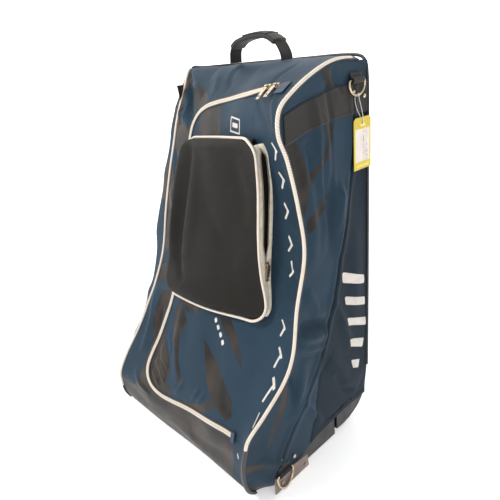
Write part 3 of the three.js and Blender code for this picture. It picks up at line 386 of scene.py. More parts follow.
def circle(r, n=12, r2=None, ph=0.0):
    a = np.linspace(0, 2 * math.pi, n, endpoint=False) + ph
    return np.stack([r * np.cos(a), (r2 or r) * np.sin(a)], 1)


def resample(pts, n):
    pts = np.asarray(pts, float)
    d = np.concatenate([[0], np.cumsum(np.linalg.norm(np.diff(pts, axis=0), axis=1))])
    q = np.linspace(0, d[-1], n)
    return np.stack([np.interp(q, d, pts[:, k]) for k in range(pts.shape[1])], 1)


def spline(pts, n, closed=False):
    """Centripetal Catmull-Rom through the points, n samples evenly along it."""
    p = np.asarray(pts, float)
    p = np.vstack([p[-1], p, p[0], p[1]]) if closed else np.vstack([2 * p[0] - p[1], p, 2 * p[-1] - p[-2]])
    out = []
    for i in range(1, len(p) - 2):
        a, b, c, d = p[i - 1:i + 3]
        t0 = 0; t1 = t0 + max(np.linalg.norm(b - a) ** 0.5, 1e-4); t2 = t1 + max(np.linalg.norm(c - b) ** 0.5, 1e-4); t3 = t2 + max(np.linalg.norm(d - c) ** 0.5, 1e-4)
        for t in np.linspace(t1, t2, 24, endpoint=False):
            A1 = (t1 - t) / (t1 - t0) * a + (t - t0) / (t1 - t0) * b; A2 = (t2 - t) / (t2 - t1) * b + (t - t1) / (t2 - t1) * c; A3 = (t3 - t) / (t3 - t2) * c + (t - t2) / (t3 - t2) * d
            B1 = (t2 - t) / (t2 - t0) * A1 + (t - t0) / (t2 - t0) * A2; B2 = (t3 - t) / (t3 - t1) * A2 + (t - t1) / (t3 - t1) * A3
            out.append((t2 - t) / (t2 - t1) * B1 + (t - t1) / (t2 - t1) * B2)
    out.append(p[-2] if not closed else p[1])
    return resample(out, n)


def poly_sd(x, z, poly):
    """Signed distance, negative inside, of points to a polygon."""
    poly = np.asarray(poly, float); best = np.full(x.shape, 1e9); inside = np.zeros(x.shape, bool)
    for (x0, z0), (x1, z1) in zip(poly, np.roll(poly, -1, 0)):
        ex, ez = x1 - x0, z1 - z0; L = ex * ex + ez * ez + 1e-9
        t = np.clip(((x - x0) * ex + (z - z0) * ez) / L, 0, 1)
        best = np.minimum(best, np.hypot(x - x0 - t * ex, z - z0 - t * ez))
        if z0 != z1:
            inside ^= ((z0 > z) != (z1 > z)) & (x < (x1 - x0) * (z - z0) / (z1 - z0) + x0)
    return np.where(inside, -best, best)


def polys_sd(x, z, polys):
    out = np.full(x.shape, 60.0)
    for p in polys:
        out = np.minimum(out, poly_sd(x, z, p))
    return out


def line_d(x, z, pts):
    """Signed distance to a polyline (positive on its left) and the fraction along it."""
    pts = np.asarray(pts, float); seg = np.diff(pts, axis=0); ln = np.linalg.norm(seg, axis=1); tot = ln.sum(); acc = np.concatenate([[0], np.cumsum(ln)])
    best = np.full(x.shape, 1e9); sg = np.ones(x.shape); fr = np.zeros(x.shape)
    for k, (p, e, l) in enumerate(zip(pts[:-1], seg, ln)):
        t = np.clip(((x - p[0]) * e[0] + (z - p[1]) * e[1]) / (l * l), 0, 1)
        dx, dz = x - p[0] - t * e[0], z - p[1] - t * e[1]; d = np.hypot(dx, dz); m = d < best
        best = np.where(m, d, best); sg = np.where(m, np.sign(e[0] * dz - e[1] * dx), sg); fr = np.where(m, (acc[k] + t * l) / tot, fr)
    return best * sg, fr


def folds(x, z, items):
    """Sum of folds: (points, width on the left, width on the right, height)."""
    out = np.zeros(x.shape)
    for pts, wl, wr, h in items:
        d, f = line_d(x, z, pts)
        w = np.where(d > 0, wl, wr)
        out += h * np.exp(-(d / w) ** 2) * np.clip(np.sin(np.pi * np.clip(f, 0.0, 1.0)), 0, 1) ** 0.6
    return out


# ------------------------------------------------------------------------------------------------ front surface
NET = np.array([
    [[-262,-190,4],[-110,-198,4],[20,-198,4],[140,-198,4],[225,-198,4],[266,-194,4]],
    [[-270,-205,35],[-110,-205,35],[20,-207,35],[140,-216,35],[236,-222,35],[270,-224,35]],
    [[-275,-208,72],[-110,-207,76],[20,-210,76],[140,-220,76],[242,-226,76],[272,-236,76]],
    [[-270,-207,110],[-110,-205,118],[20,-208,120],[140,-220,123],[248,-227,123],[278,-239,123]],
    [[-265,-178,160],[-110,-194,158],[20,-200,160],[140,-212,161],[250,-222,161],[285,-235,161]],
    [[-262,-145,200],[-110,-168,198],[20,-180,200],[140,-195,200],[251,-205,200],[292,-226,198]],
    [[-260,-115,239],[-110,-136,235],[20,-152,237],[140,-160,237],[252,-165,237],[297,-178,234]],
    [[-258,-84,286],[-110,-105,280],[20,-120,282],[140,-118,282],[253,-112,282],[297,-112,280]],
    [[-258,-46,342],[-110,-76,335],[20,-90,335],[140,-82,335],[254,-70,335],[297,-78,335]],
    [[-256,-5,428],[-110,-36,430],[20,-50,430],[140,-45,430],[255,-35,432],[297,-58,433]],
    [[-258,27,540],[-110,-4,545],[20,-15,545],[140,-15,547],[255,-8,547],[297,-25,547]],
    [[-260,60,640],[-110,25,640],[20,10,640],[140,0,650],[255,-10,650],[297,-36,650]],
    [[-262,90,718],[-110,60,728],[20,30,735],[140,5,740],[255,-25,745],[297,-60,750]],
    [[-263,109,770],[-110,76,780],[20,42,785],[140,6,795],[255,-38,803],[297,-81,803]],
    [[-266,131,814],[-110,93,818],[20,58,825],[140,14,838],[256,-30,846],[297,-73,848]],
    [[-270,150,840],[-110,110,843],[20,76,850],[140,24,864],[256,2,872],[297,-30,877]],
    [[-275,164,864],[-110,130,866],[20,100,872],[140,56,885],[256,45,893],[297,18,898]],
    [[-282,180,886],[-110,152,888],[20,128,895],[140,102,905],[256,95,911],[297,72,914]],
    [[-287,194,902],[-110,178,906],[20,160,911],[140,150,917],[258,145,919],[297,124,918]],
    [[-289,206,909],[-110,207,914],[20,207,917],[140,207,919],[258,207,919],[293,204,910]]], float)
ZIP_PATH = [[236,166],[204,164],[150,157],[85,146],[24,135],[-25,125],[-70,120],[-108,128],[-134,148],[-148,175],[-150,210],
            [-149,260],[-147,335],[-150,430],[-156,540],[-163,640],[-169,710],[-168,755],[-158,786],[-136,808],[-104,821],[-60,831],[-4,842],[50,851],[100,859],[150,867],[195,873],[236,877]]
NR, NC = NET.shape[:2]
NP = np.zeros((NR + 2, NC + 2, 3)); NP[1:-1, 1:-1] = NET
NP[0, 1:-1] = 2 * NET[0] - NET[1]; NP[-1, 1:-1] = 2 * NET[-1] - NET[-2]
NP[:, 0] = 2 * NP[:, 1] - NP[:, 2]; NP[:, -1] = 2 * NP[:, -2] - NP[:, -3]


def front(s, v):
    s, v = np.broadcast_arrays(np.asarray(s, float), np.asarray(v, float))
    c0 = np.clip(np.floor(s), 0, NC - 2).astype(int); r0 = np.clip(np.floor(v), 0, NR - 2).astype(int)
    cat = lambda t: 0.5 * np.stack([-t + 2 * t * t - t ** 3, 2 - 5 * t * t + 3 * t ** 3, t + 4 * t * t - 3 * t ** 3, -t * t + t ** 3], -1)
    ws, wv = cat(s - c0), cat(v - r0); out = np.zeros(s.shape + (3,))
    for i in range(4):
        for j in range(4):
            out += NP[r0 + i, c0 + j] * (wv[..., i] * ws[..., j])[..., None]
    return out


def front_n(s, v, e=0.02):
    n = np.cross(front(s + e, v) - front(s - e, v), front(s, v + e) - front(s, v - e))
    return n / np.linalg.norm(n, axis=-1, keepdims=True)


_cs, _cv = np.meshgrid(np.linspace(0, 5, 51), np.linspace(0, 17, 171), indexing="ij")
_cp = front(_cs, _cv)


def inverse(x, z):
    x, z = np.broadcast_arrays(np.asarray(x, float), np.asarray(z, float)); shp = x.shape; x, z = x.ravel(), z.ravel()
    s, v = np.zeros(len(x)), np.zeros(len(x))
    for k in range(0, len(x), 2000):
        q = (_cp[..., 0].ravel()[None] - x[k:k + 2000, None]) ** 2 + (_cp[..., 2].ravel()[None] - z[k:k + 2000, None]) ** 2
        i = q.argmin(1); s[k:k + 2000] = _cs.ravel()[i]; v[k:k + 2000] = _cv.ravel()[i]
    for _ in range(10):
        p, a, b = front(s, v), front(s + 1e-3, v), front(s, v + 1e-3)
        a00, a01, a10, a11 = (a[:, 0] - p[:, 0]) / 1e-3, (b[:, 0] - p[:, 0]) / 1e-3, (a[:, 2] - p[:, 2]) / 1e-3, (b[:, 2] - p[:, 2]) / 1e-3
        det = a00 * a11 - a01 * a10; rx, rz = x - p[:, 0], z - p[:, 2]
        s += np.clip((rx * a11 - rz * a01) / det, -0.5, 0.5); v += np.clip((rz * a00 - rx * a10) / det, -0.5, 0.5)
    return s.reshape(shp), v.reshape(shp)


FRONT_FOLDS = [
    ([(-283, 905), (-235, 850), (-190, 800), (-180, 770)], 13, 9, -9), ([(-283, 905), (-215, 872), (-150, 845)], 11, 10, 7), ([(-265, 890), (-248, 830), (-240, 770)], 9, 10, 6), ([(-275, 895), (-232, 878), (-196, 866)], 6, 7, -4), ([(-256, 860), (-222, 822), (-205, 780)], 6, 8, 4),
    ([(-250, 800), (-215, 790), (-185, 775)], 10, 14, 5), ([(-140, 900), (-105, 880), (-85, 850)], 12, 16, 3), ([(-60, 905), (-45, 880), (-20, 862)], 14, 10, -2.5),
    ([(190, 915), (185, 893), (190, 875)], 6, 8, -2.5), ([(60, 900), (120, 885), (200, 890)], 14, 18, 2.5),
    ([(-120, 225), (-96, 205), (-60, 195)], 7, 6, 3), ([(-122, 190), (-90, 182), (-60, 160)], 6, 5, 3), ([(-118, 168), (-98, 160), (-80, 140)], 5, 5, 2.6), ([(-112, 250), (-90, 240), (-72, 222)], 6, 6, 2.2),
    ([(60, 166), (75, 185), (82, 205)], 6, 6, 2.0), ([(85, 168), (100, 188), (112, 205)], 6, 6, 2.0), ([(-10, 155), (10, 175), (20, 200)], 7, 6, 1.6),
    ([(-90, 330), (-70, 250), (0, 180)], 22, 16, 4), ([(60, 345), (120, 290), (200, 190)], 30, 24, 4), ([(150, 360), (215, 300), (240, 210)], 20, 26, -4),
    ([(240, 720), (262, 640), (262, 560)], 8, 12, -3), ([(248, 600), (275, 585), (290, 560)], 8, 8, 2.5), ([(246, 520), (262, 500), (285, 490)], 8, 7, 2.5), ([(246, 470), (266, 455), (288, 440)], 9, 7, -2.5), ([(240, 400), (262, 385), (285, 380)], 9, 9, 2.5),
    ([(255, 740), (272, 700), (285, 660)], 7, 7, 2.5), ([(240, 300), (262, 290), (284, 262)], 8, 10, -2),
    ([(-245, 330), (-215, 260), (-200, 180)], 16, 12, 5), ([(-180, 300), (-165, 240), (-175, 190)], 8, 8, -3), ([(-240, 600), (-205, 560), (-180, 520)], 12, 14, 4), ([(-245, 700), (-215, 640), (-200, 600)], 12, 10, -4),
    ([(-240, 100), (-120, 80), (60, 92)], 20, 24, 3), ([(60, 60), (150, 80), (235, 110)], 16, 20, -3), ([(-150, 40), (-20, 60), (120, 50)], 20, 16, 2.5), ([(-200, 140), (-170, 110), (-120, 100)], 8, 9, 3),
    ([(20, 800), (80, 815), (150, 812)], 16, 18, 2.2), ([(160, 850), (200, 815), (225, 790)], 10, 12, -2.5), ([(225, 870), (240, 830), (245, 790)], 8, 9, 2.5)]


def relief(s, v, P):
    x, z = P[..., 0], P[..., 2]
    h = 1.6 * folds(x, z, FRONT_FOLDS)
    h += 1.6 * np.sin(x / 33 + z / 51) * np.sin(z / 43 - x / 70) * smooth((v - 0.8) / 1.5)
    edge = np.minimum(smooth(s / 0.12), smooth((5 - s) / 0.12))
    return h * edge * smooth((v - 0.2) / 0.4)


def surf(s, v, lift=0.0):
    P = front(s, v)
    return P + front_n(s, v) * (relief(s, v, P) + lift)[..., None]


zc = spline([[x, 0, z] for x, z in ZIP_PATH], 401)
zs, zv = inverse(zc[:, 0], zc[:, 2])
zP, zN = surf(zs, zv), front_n(zs, zv)
zT = np.gradient(zP, axis=0); zT /= np.linalg.norm(zT, axis=1, keepdims=True)
zB = np.cross(zT, zN); zB *= 1 if zB[200, 0] > 0 else -1         # towards the door


def project(q, s, v):
    s, v = s.copy(), v.copy()
    for _ in range(12):
        p = front(s, v); a = (front(s + 1e-3, v) - p) / 1e-3; b = (front(s, v + 1e-3) - p) / 1e-3; r = q - p
        aa, ab, bb, ra, rb = (a * a).sum(-1), (a * b).sum(-1), (b * b).sum(-1), (r * a).sum(-1), (r * b).sum(-1); det = aa * bb - ab * ab
        s += np.clip((ra * bb - rb * ab) / det, -0.4, 0.4); v += np.clip((rb * aa - ra * ab) / det, -0.4, 0.4)
    return s, v


HEM = 7.2
f0 = front(zs, zv); inn = np.stack(project(f0 + zB * HEM, zs, zv), 1); outr = np.stack(project(f0 - zB * HEM, zs, zv), 1)
CL, CH = 110, 290                                                 # zip samples at its two rounded corners


def edge_sv(col, vv):
    vv = np.asarray(vv, float); a, b = front(np.full_like(vv, col), vv), front(np.full_like(vv, 4.0 if col == 5 else 1.0), vv)
    u = b - a; u /= np.linalg.norm(u, axis=-1, keepdims=True)
    return np.stack(project(a + u * 3.2, np.full_like(vv, 4.96 if col == 5 else 0.04), vv), 1)


def pick(pts, t):
    q = np.clip(t, 0, 1) * (len(pts) - 1); i = np.minimum(len(pts) - 2, np.floor(q).astype(int)); f = (q - i)[:, None]
    return pts[i] * (1 - f) + pts[i + 1] * f


# prints, as outlines in the front view (x, z)
INK_FRONT = [
    [(-212,852),(-170,868),(-103,838),(-120,824),(-160,812),(-201,812)], [(-283,905),(-262,888),(-240,835),(-232,800),(-250,790),(-262,800),(-275,860)],
    [(-262,790),(-235,790),(-215,770),(-190,768),(-180,735),(-186,700),(-230,690),(-262,715)], [(-192,812),(-172,812),(-166,795),(-182,780)],
    [(-124,818),(-70,826),(-24,834),(-14,800),(-9,775),(-14,752),(-120,747),(-130,781)],
    [(-214,330),(-160,345),(-150,300),(-150,250),(-152,190),(-138,146),(-104,122),(-60,114),(60,134),(200,150),(226,158),(234,131),(228,92),(216,43),(212,-10),(-300,-10),(-300,96),(-232,88),(-190,100),(-172,130),(-166,180),(-176,220),(-205,262)],
    [(-139,260),(-118,232),(-73,214),(-52,196),(-56,170),(-16,150),(-40,132),(-92,130),(-118,140),(-138,168),(-140,220)],
    [(-122,320),(-76,323),(-50,298),(-62,268),(-30,225),(-2,205),(26,178),(-2,188),(-52,228),(-100,270)],
    [(31,292),(85,266),(132,247),(197,220),(212,199),(205,186),(175,190),(143,200),(97,220),(61,252)],
    [(66,350),(101,352),(132,322),(160,294),(182,268),(146,288),(115,309),(89,326)],
    [(20,148),(60,158),(100,176),(140,202),(150,190),(116,164),(70,144)], [(-120,345),(-11,350),(-20,332),(-60,322),(-104,330)],
    [(-262,640),(-200,660),(-190,560),(-205,480),(-236,420),(-262,430)], [(-262,380),(-225,400),(-206,372),(-230,345),(-262,340)]]


def quad(cx, cz, w, h, tilt=0.0, shear=0.0):
    out = []
    for a, b in ((-1, -1), (1, -1), (1, 1), (-1, 1)):
        x, z = a * w / 2 + shear * b * h / 2, b * h / 2
        c, s_ = math.cos(math.radians(tilt)), math.sin(math.radians(tilt))
        out.append((cx + x * c - z * s_, cz + x * s_ + z * c))
    return out


PALE_FRONT = []
for cx, cz, tl in ((231, 757, 10), (238, 696, 6), (240, 628, 2), (247, 555, -4), (256, 500, -10), (253, 371, 6), (261, 314, 14), (277, 265, 22)):   # plain chevrons down the right strip
    PALE_FRONT += [quad(cx - 3, cz + 7, 5, 24, tl + 28), quad(cx - 3, cz - 9, 5, 24, tl - 28)]
PALE_FRONT += [quad(283, 222, 2.4, 20, 14), quad(252, 130, 4, 14, 10)]
PALE_FRONT += [quad(68, 807, 44, 3.6, -3, 0), quad(68, 777, 44, 3.6, -3, 0), quad(47.5, 793, 3.6, 33, -3), quad(88.5, 791, 3.6, 33, -3), quad(68, 792, 24, 10, -3)]     # plain outline badge round a solid bar
for k in range(4):
    PALE_FRONT.append(quad(57 + 14 * k, 338 - 13 * k, 11, 8, -48))


def front_attrs(s, v, P):
    x, z = P[..., 0], P[..., 2]
    return {"ink": polys_sd(x, z, INK_FRONT), "pale": polys_sd(x, z, PALE_FRONT)}


def coons(bottom, top, left, right, nu, nv):
    us, ws = np.linspace(0, 1, nu), np.linspace(0, 1, nv)
    B, T, L, R = pick(bottom, us), pick(top, us), pick(left, ws), pick(right, ws)
    u, w = us[:, None, None], ws[None, :, None]
    return (1 - u) * L[None] + u * R[None] + (1 - w) * B[:, None] + w * T[:, None] - ((1 - u) * (1 - w) * bottom[0] + u * (1 - w) * bottom[-1] + (1 - u) * w * top[0] + u * w * top[-1])


# the door with the strip beside it, one cloth
v_lo, v_hi = inn[0, 1], inn[-1, 1]
e_lo, e_hi = edge_sv(5, np.array([v_lo]))[0], edge_sv(5, np.array([v_hi]))[0]
c_lo, c_hi = np.array([zs[0], zv[0]]), np.array([zs[-1], zv[-1]])
d_bottom = np.vstack([inn[:CL + 1][::-1], np.linspace(inn[0], c_lo, 8)[1:], np.linspace(c_lo, e_lo, 33)[1:]])
d_top = np.vstack([inn[CH:], np.linspace(inn[-1], c_hi, 8)[1:], np.linspace(c_hi, e_hi, 33)[1:]])
sv = coons(d_bottom, d_top, inn[CL:CH + 1], edge_sv(5, np.linspace(v_lo, v_hi, 240)), 170, 230)
Pd = surf(sv[..., 0], sv[..., 1])
P0 = front(sv[..., 0], sv[..., 1])
at = front_attrs(sv[..., 0], sv[..., 1], P0)
uvd = np.stack([P0[..., 0], P0[..., 2]], -1) / 1000
door = sheet("door_fabric", Pd, NAVY, uvd, at, 2.2)
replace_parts(door, "front_door_panel", "right_front_strip")
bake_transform(door)

# body cloth round the zip: left strip, top and lower panel in one run
ext = 30
z_ring = np.vstack([np.linspace(e_lo - [0, 0.01], c_lo + [0, 0.02], ext - 6)[:-1], np.linspace(c_lo + [0, 0.02], outr[0], 7)[:-1], outr, np.linspace(outr[-1], c_hi - [0, 0.02], 7)[1:], np.linspace(c_hi - [0, 0.02], e_hi + [0, 0.01], ext - 6)[1:]])
ev = lambda col, a, b, n: edge_sv(col, np.linspace(a, b, n))
lo_l, hi_l = edge_sv(0, np.array([0.3]))[0], edge_sv(0, np.array([18.8]))[0]
lo_r, hi_r = edge_sv(5, np.array([0.3]))[0], edge_sv(5, np.array([18.8]))[0]
nL, nM, nT = CL + ext - 1, CH - CL, len(z_ring) - (CL + ext - 1) - (CH - CL)
o_ring = np.vstack([np.linspace(lo_r, lo_l, nL + 1)[:-1], edge_sv(0, np.linspace(0.3, 18.8, nM + 1))[:-1], np.linspace(hi_l, hi_r, nT)])
ws = np.linspace(0, 1, 46)
ring = z_ring[:, None] * (1 - ws)[None, :, None] + o_ring[:, None] * ws[None, :, None]
P0 = front(ring[..., 0], ring[..., 1]); Pr = surf(ring[..., 0], ring[..., 1])
at = front_attrs(ring[..., 0], ring[..., 1], P0)
body_cloth = sheet("body_front_fabric", Pr, NAVY, np.stack([P0[..., 0], P0[..., 2] + 0.6 * P0[..., 1]], -1) / 1000, at, 2.2)
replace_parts(body_cloth, "left_front_strip", "top_front_panel", "lower_front_panel"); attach(body_cloth, "bag")


def zip_half(name, sgn, body):
    prof = [(0.15, 0.4), (1.2, 1.9), (3.4, 2.4), (5.0, 1.7), (5.6, 0.1), (6.6, 0.5), (7.6, 1.9), (8.6, 2.0), (9.4, 0.7), (9.4, -1.2), (5.0, -1.6), (0.15, -1.4)]
    V = zP[:, None] + zB[:, None] * np.array([sgn * p[0] for p in prof])[None, :, None] + zN[:, None] * np.array([p[1] for p in prof])[None, :, None]
    n = len(prof); d = np.concatenate([[0], np.cumsum(np.linalg.norm(np.diff(zP, axis=0), axis=1))]) / 1000
    uv = np.zeros((len(zP), n, 2)); uv[..., 0] = d[:, None]; uv[..., 1] = np.array([sgn * p[0] / 1000 for p in prof])
    ob = new_mesh(name, to_m(V.reshape(-1, 3)), grid_faces(len(zP), n, False, True) + [tuple(range(n)), tuple((len(zP) - 1) * n + k for k in range(n))], uv.reshape(-1, 2), {}, COIL)
    fix_normals(ob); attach(ob, body); return ob


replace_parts(zip_half("main_zip_body_half", -1, "bag"), "main_zip_tape_body")
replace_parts(zip_half("main_zip_door_half", 1, "front_door"), "main_zip_tape_door")

# ------------------------------------------------------------------------------------------------ pipings
def piping(name, col, v0, v1, n, mat, nodes, r=4.7, seam=True):
    vv = np.linspace(v0, v1, n * 3); P = resample(front(np.full_like(vv, col), vv), n)
    sgn = 1 if col == 5 else -1
    ob = sweep(name, P, np.array([sgn * 0.75, -0.6, 0.25]), circle(r, 14), mat, closed=True, vscale="turns")
    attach(ob, "bag")
    if nodes:
        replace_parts(ob, *nodes)
    if seam:
        out = np.array([sgn * 1.0, 0.35, 0.0])
        t, b, nn = frames(P, out)
        ln = sweep(name + "_seam", P + nn * 1.2 + np.array([0, 3.2, -1.4]), out, circle(2.6, 8), DARKPIPE, closed=True, vscale="turns")
        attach(ln, "bag")
    return ob


piping("right_cream_piping", 5, 4.35, 18.35, 420, CREAM, ["right_piping"], 3.9)
piping("right_base_black_piping", 5, 0.3, 4.34, 120, DARKPIPE, ["right_base_piping"], 4.0)
piping("left_cream_piping", 0, 1.6, 18.6, 420, CREAM, ["left_piping"], 3.9)
piping("left_base_black_piping", 0, 0.3, 1.59, 60, DARKPIPE, [], 4.0)

# ------------------------------------------------------------------------------------------------ side panels
HALF_W, BACK = 297.0, 205.0
SIDE_FOLDS_R = [([(22, 860), (34, 780), (30, 690), (44, 600), (38, 520)], 9, 12, 5), ([(58, 880), (72, 800), (74, 700), (66, 600), (70, 520)], 8, 10, -5), ([(96, 870), (104, 780), (100, 680), (88, 560)], 9, 10, 5),
                ([(-60, 700), (-45, 640), (-30, 560), (-40, 500)], 8, 10, 4), ([(-75, 600), (-50, 520), (-30, 430)], 9, 12, -4.5), ([(-80, 350), (-30, 322), (30, 300)], 7, 9, 5), ([(-20, 460), (10, 400), (50, 372)], 10, 12, 5), ([(-110, 330), (-80, 250), (-90, 180)], 8, 11, -4),
                ([(60, 420), (100, 340), (140, 240)], 12, 14, 4), ([(-60, 200), (-20, 140), (10, 90)], 8, 12, 4), ([(60, 200), (100, 140), (150, 100)], 9, 10, -3.5),
                ([(-20, 790), (-5, 700), (10, 600), (5, 500)], 20, 16, 5), ([(35, 860), (60, 780), (95, 640), (90, 500)], 34, 22, 7), ([(-72, 372), (-20, 350), (40, 330)], 9, 22, 9), ([(-75, 392), (-15, 372), (45, 352)], 12, 8, -7),
                ([(-42, 300), (-60, 230), (-100, 160)], 20, 16, 5), ([(-60, 560), (-40, 480), (-60, 420)], 14, 14, -4), ([(120, 840), (130, 760), (128, 700)], 18, 14, 4), ([(-10, 780), (5, 740), (0, 690)], 8, 8, -4),
                ([(-200, 120), (-165, 90), (-120, 70)], 10, 12, 3), ([(-215, 90), (-190, 50), (-170, 20)], 14, 12, 3), ([(150, 600), (160, 450), (150, 300)], 30, 30, 4), ([(40, 250), (110, 160), (170, 110)], 24, 30, 5), ([(80, 905), (96, 880), (110, 850)], 9, 10, -3)]
SEAM_A = [(152, 868), (150, 801), (144, 684), (122, 626), (100, 520), (79, 437), (35, 322), (-2, 247), (-70, 167), (-137, 89), (-166, 48)]
SEAM_B = [(18, 275), (12, 254), (2, 196), (-15, 131), (-36, 62)]
INK_SIDE = [[(-70,779),(-35,786),(-20,750),(-5,702),(-11,661),(-18,627),(-31,641),(-40,686),(-52,730)], [(50,802),(81,800),(77,764),(58,733),(26,716),(2,689),(-5,702),(15,721),(44,740),(54,769)],
            [(60,664),(44,634),(20,611),(-10,587),(-14,607),(-8,623),(16,639)], [(47,903),(74,907),(95,879),(92,868),(67,866),(54,887)], [(-23,558),(-17,533),(-23,483),(-28,489)], [(-79,379),(-75,335),(-83,270),(-89,297),(-87,357)],
            [(-118,278),(-104,262),(-110,219),(-134,187),(-158,166),(-181,140),(-168,171),(-148,205),(-128,238)], [(-250,128),(-160,88),(-194,92),(-226,93),(-250,104)], [(-260,62),(-215,46),(-178,28),(-166,-10),(-270,-10)]]
PALE_SIDE = [[(104, 458), (192, 418), (194, 394), (105, 430)], [(112, 392), (196, 356), (198, 333), (116, 368)], [(120, 330), (200, 296), (202, 272), (126, 306)], [(129, 266), (192, 238), (186, 214), (136, 240)], [(136, 200), (172, 184), (166, 162), (142, 174)]]


def side_grid(col, sgn, nu, nv, fold, vt, fill, bulge=0.0):
    u, v = np.meshgrid(np.linspace(0, 1, nu) ** 1.25, np.linspace(0.3, vt, nv), indexing="ij")
    c = front(np.full_like(v, col), v); a, b = front(np.full_like(v, col), v - 0.05), front(np.full_like(v, col), v + 0.05)
    l = np.hypot(b[..., 1] - a[..., 1], b[..., 2] - a[..., 2]); off = 3.0 / l
    y0 = c[..., 1] + (b[..., 2] - a[..., 2]) * off; z0 = c[..., 2] - (b[..., 1] - a[..., 1]) * off
    zb = np.where(z0 < 62, 62 + (z0 - 3) * 0.3, np.where(z0 < 880, np.maximum(z0, 80), 880 + (z0 - 880) * 0.8))
    z = z0 + (zb - z0) * smooth((u - 0.08) / 0.5)
    yb = BACK - 9 * smooth((150 - z) / 70)
    y = y0 + (yb - y0) * u
    x = np.abs(c[..., 0]) + (HALF_W + bulge * np.exp(-((z - 470) / 115) ** 2) * smooth((1.15 - u) / 0.9) - np.abs(c[..., 0])) * smooth(u / fill)
    h = (1.7 if sgn > 0 else 1.0) * folds(y, z, fold) * smooth(u / 0.1) * smooth((1 - u) / 0.06) + 1.5 * np.sin(y / 31 + z / 77) * np.sin(z / 61) * smooth(u / 0.1) * smooth((1 - u) / 0.1)
    xo = x + h
    if sgn > 0:                                                      # flat cloth behind the hang tag's swing
        k = smooth((y - 60) / 30) * smooth((z - 640) / 40); xo = xo + (np.minimum(xo, 300.5) - xo) * k
    return np.stack([sgn * xo, y, z], -1), u


Ps, us_ = side_grid(5, 1, 120, 240, SIDE_FOLDS_R, 18.6, 0.16)
y, z = Ps[..., 1], Ps[..., 2]
dA, fA = line_d(y, z, SEAM_A); dB, fB = line_d(y, z, SEAM_B)
aA, aB = np.abs(dA), np.abs(dB)
Ps[..., 0] -= 2.6 * np.exp(-(aA / 3.2) ** 2) + 2.0 * np.exp(-(aB / 3.2) ** 2)
Ps[..., 0] += 3.5 * np.exp(-((aA - 9) / 8) ** 2)
seam = np.minimum(np.minimum(aA, aB) * 1.5, 60)
stitch = np.exp(-((aA - 5) / 1.0) ** 2)
gus = smooth((-dA) / 3.0) * np.where(fA > 0.02, 1, 0)
at = {"ink": polys_sd(y, z, INK_SIDE), "pale": polys_sd(y, z, PALE_SIDE), "seam": seam, "stitch": stitch}
rside = sheet("right_side_fabric", Ps, NAVY, np.stack([y, z], -1) / 1000, at, 2.2, outward=(1, 0, 0))
rside.data.materials.append(NAVY_SHADED)
nu, nv = Ps.shape[:2]
behind = (dA < 0) if line_d(np.array([180.0]), np.array([400.0]), SEAM_A)[0][0] < 0 else (dA > 0)
betweenB = (line_d(np.array([60.0]), np.array([150.0]), SEAM_B)[0][0] > 0)
right_of_B = (dB > 0) if betweenB else (dB < 0)
# faces of the rear gusset that get the darker navy as painted shade
gusset_shaded = behind & ((z > 275) | right_of_B) & (z < 866)
mi = np.zeros(len(rside.data.polygons), int); k = 0
for i in range(nu - 1):
    for j in range(nv - 1):
        mi[k] = 1 if gusset_shaded[i, j] else 0; k += 1
rside.data.polygons.foreach_set("material_index", mi)
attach(rside, "bag"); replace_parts(rside, "right_side_panel")

FOLDS_L = [([(-100, 560), (0, 480), (60, 420)], 30, 26, 8), ([(-60, 700), (60, 650), (120, 560)], 26, 30, 7), ([(-150, 330), (-60, 300), (60, 260)], 24, 24, 9), ([(-170, 200), (-90, 180), (40, 150)], 26, 20, 8), ([(40, 300), (60, 200), (50, 120)], 22, 22, -5), ([(100, 800), (130, 700), (120, 600)], 18, 18, 4)]
INK_L = [[(0, 640), (60, 700), (110, 640), (60, 560), (10, 560)], [(-40, 560), (20, 500), (-10, 380), (-60, 420)], [(60, 480), (120, 520), (140, 380), (90, 330)], [(-120, 340), (-60, 330), (-70, 240), (-140, 230)], [(120, 820), (170, 820), (160, 700), (110, 720)], [(-60, 240), (40, 260), (20, 160), (-60, 140)], [(80, 260), (150, 280), (150, 180), (90, 160)]]
Pl, ul = side_grid(0, -1, 110, 220, FOLDS_L, 18.6, 0.085, 23.0)
y, z = Pl[..., 1], Pl[..., 2]
lside = sheet("left_side_fabric", Pl, NAVY, np.stack([y, z], -1) / 1000, {"ink": polys_sd(y, z, INK_L)}, 2.2, outward=(-1, 0, 0))
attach(lside, "bag"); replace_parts(lside, "left_side_panel")


def back_grid():
    u, w = np.meshgrid(np.linspace(-1, 1, 90), np.linspace(0, 1, 120), indexing="ij")
    x = u * 294; z = 146 + w * (914 - 146) - 8 * np.abs(u) ** 6 * w ** 8
    y = 207 + 4.0 * (1 - u ** 8) * (1 - (2 * w - 1) ** 8) + 0.8 * np.sin(x / 40) * np.sin(z / 55) - 3 * np.abs(u) ** 20
    return np.stack([x, y, z], -1)


Pb = back_grid()
seamb = np.minimum(np.abs(np.abs(Pb[..., 0]) - 120), np.abs(Pb[..., 2] - 520)) * 2
back = sheet("back_fabric", Pb, BLACK, Pb[..., [0, 2]] / 1000, {"seam": seamb, "stitch": np.exp(-((seamb / 2 - 5) / 1.2) ** 2)}, 2.0, outward=(0, 1, 0))
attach(back, "bag"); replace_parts(back, "back_panel")

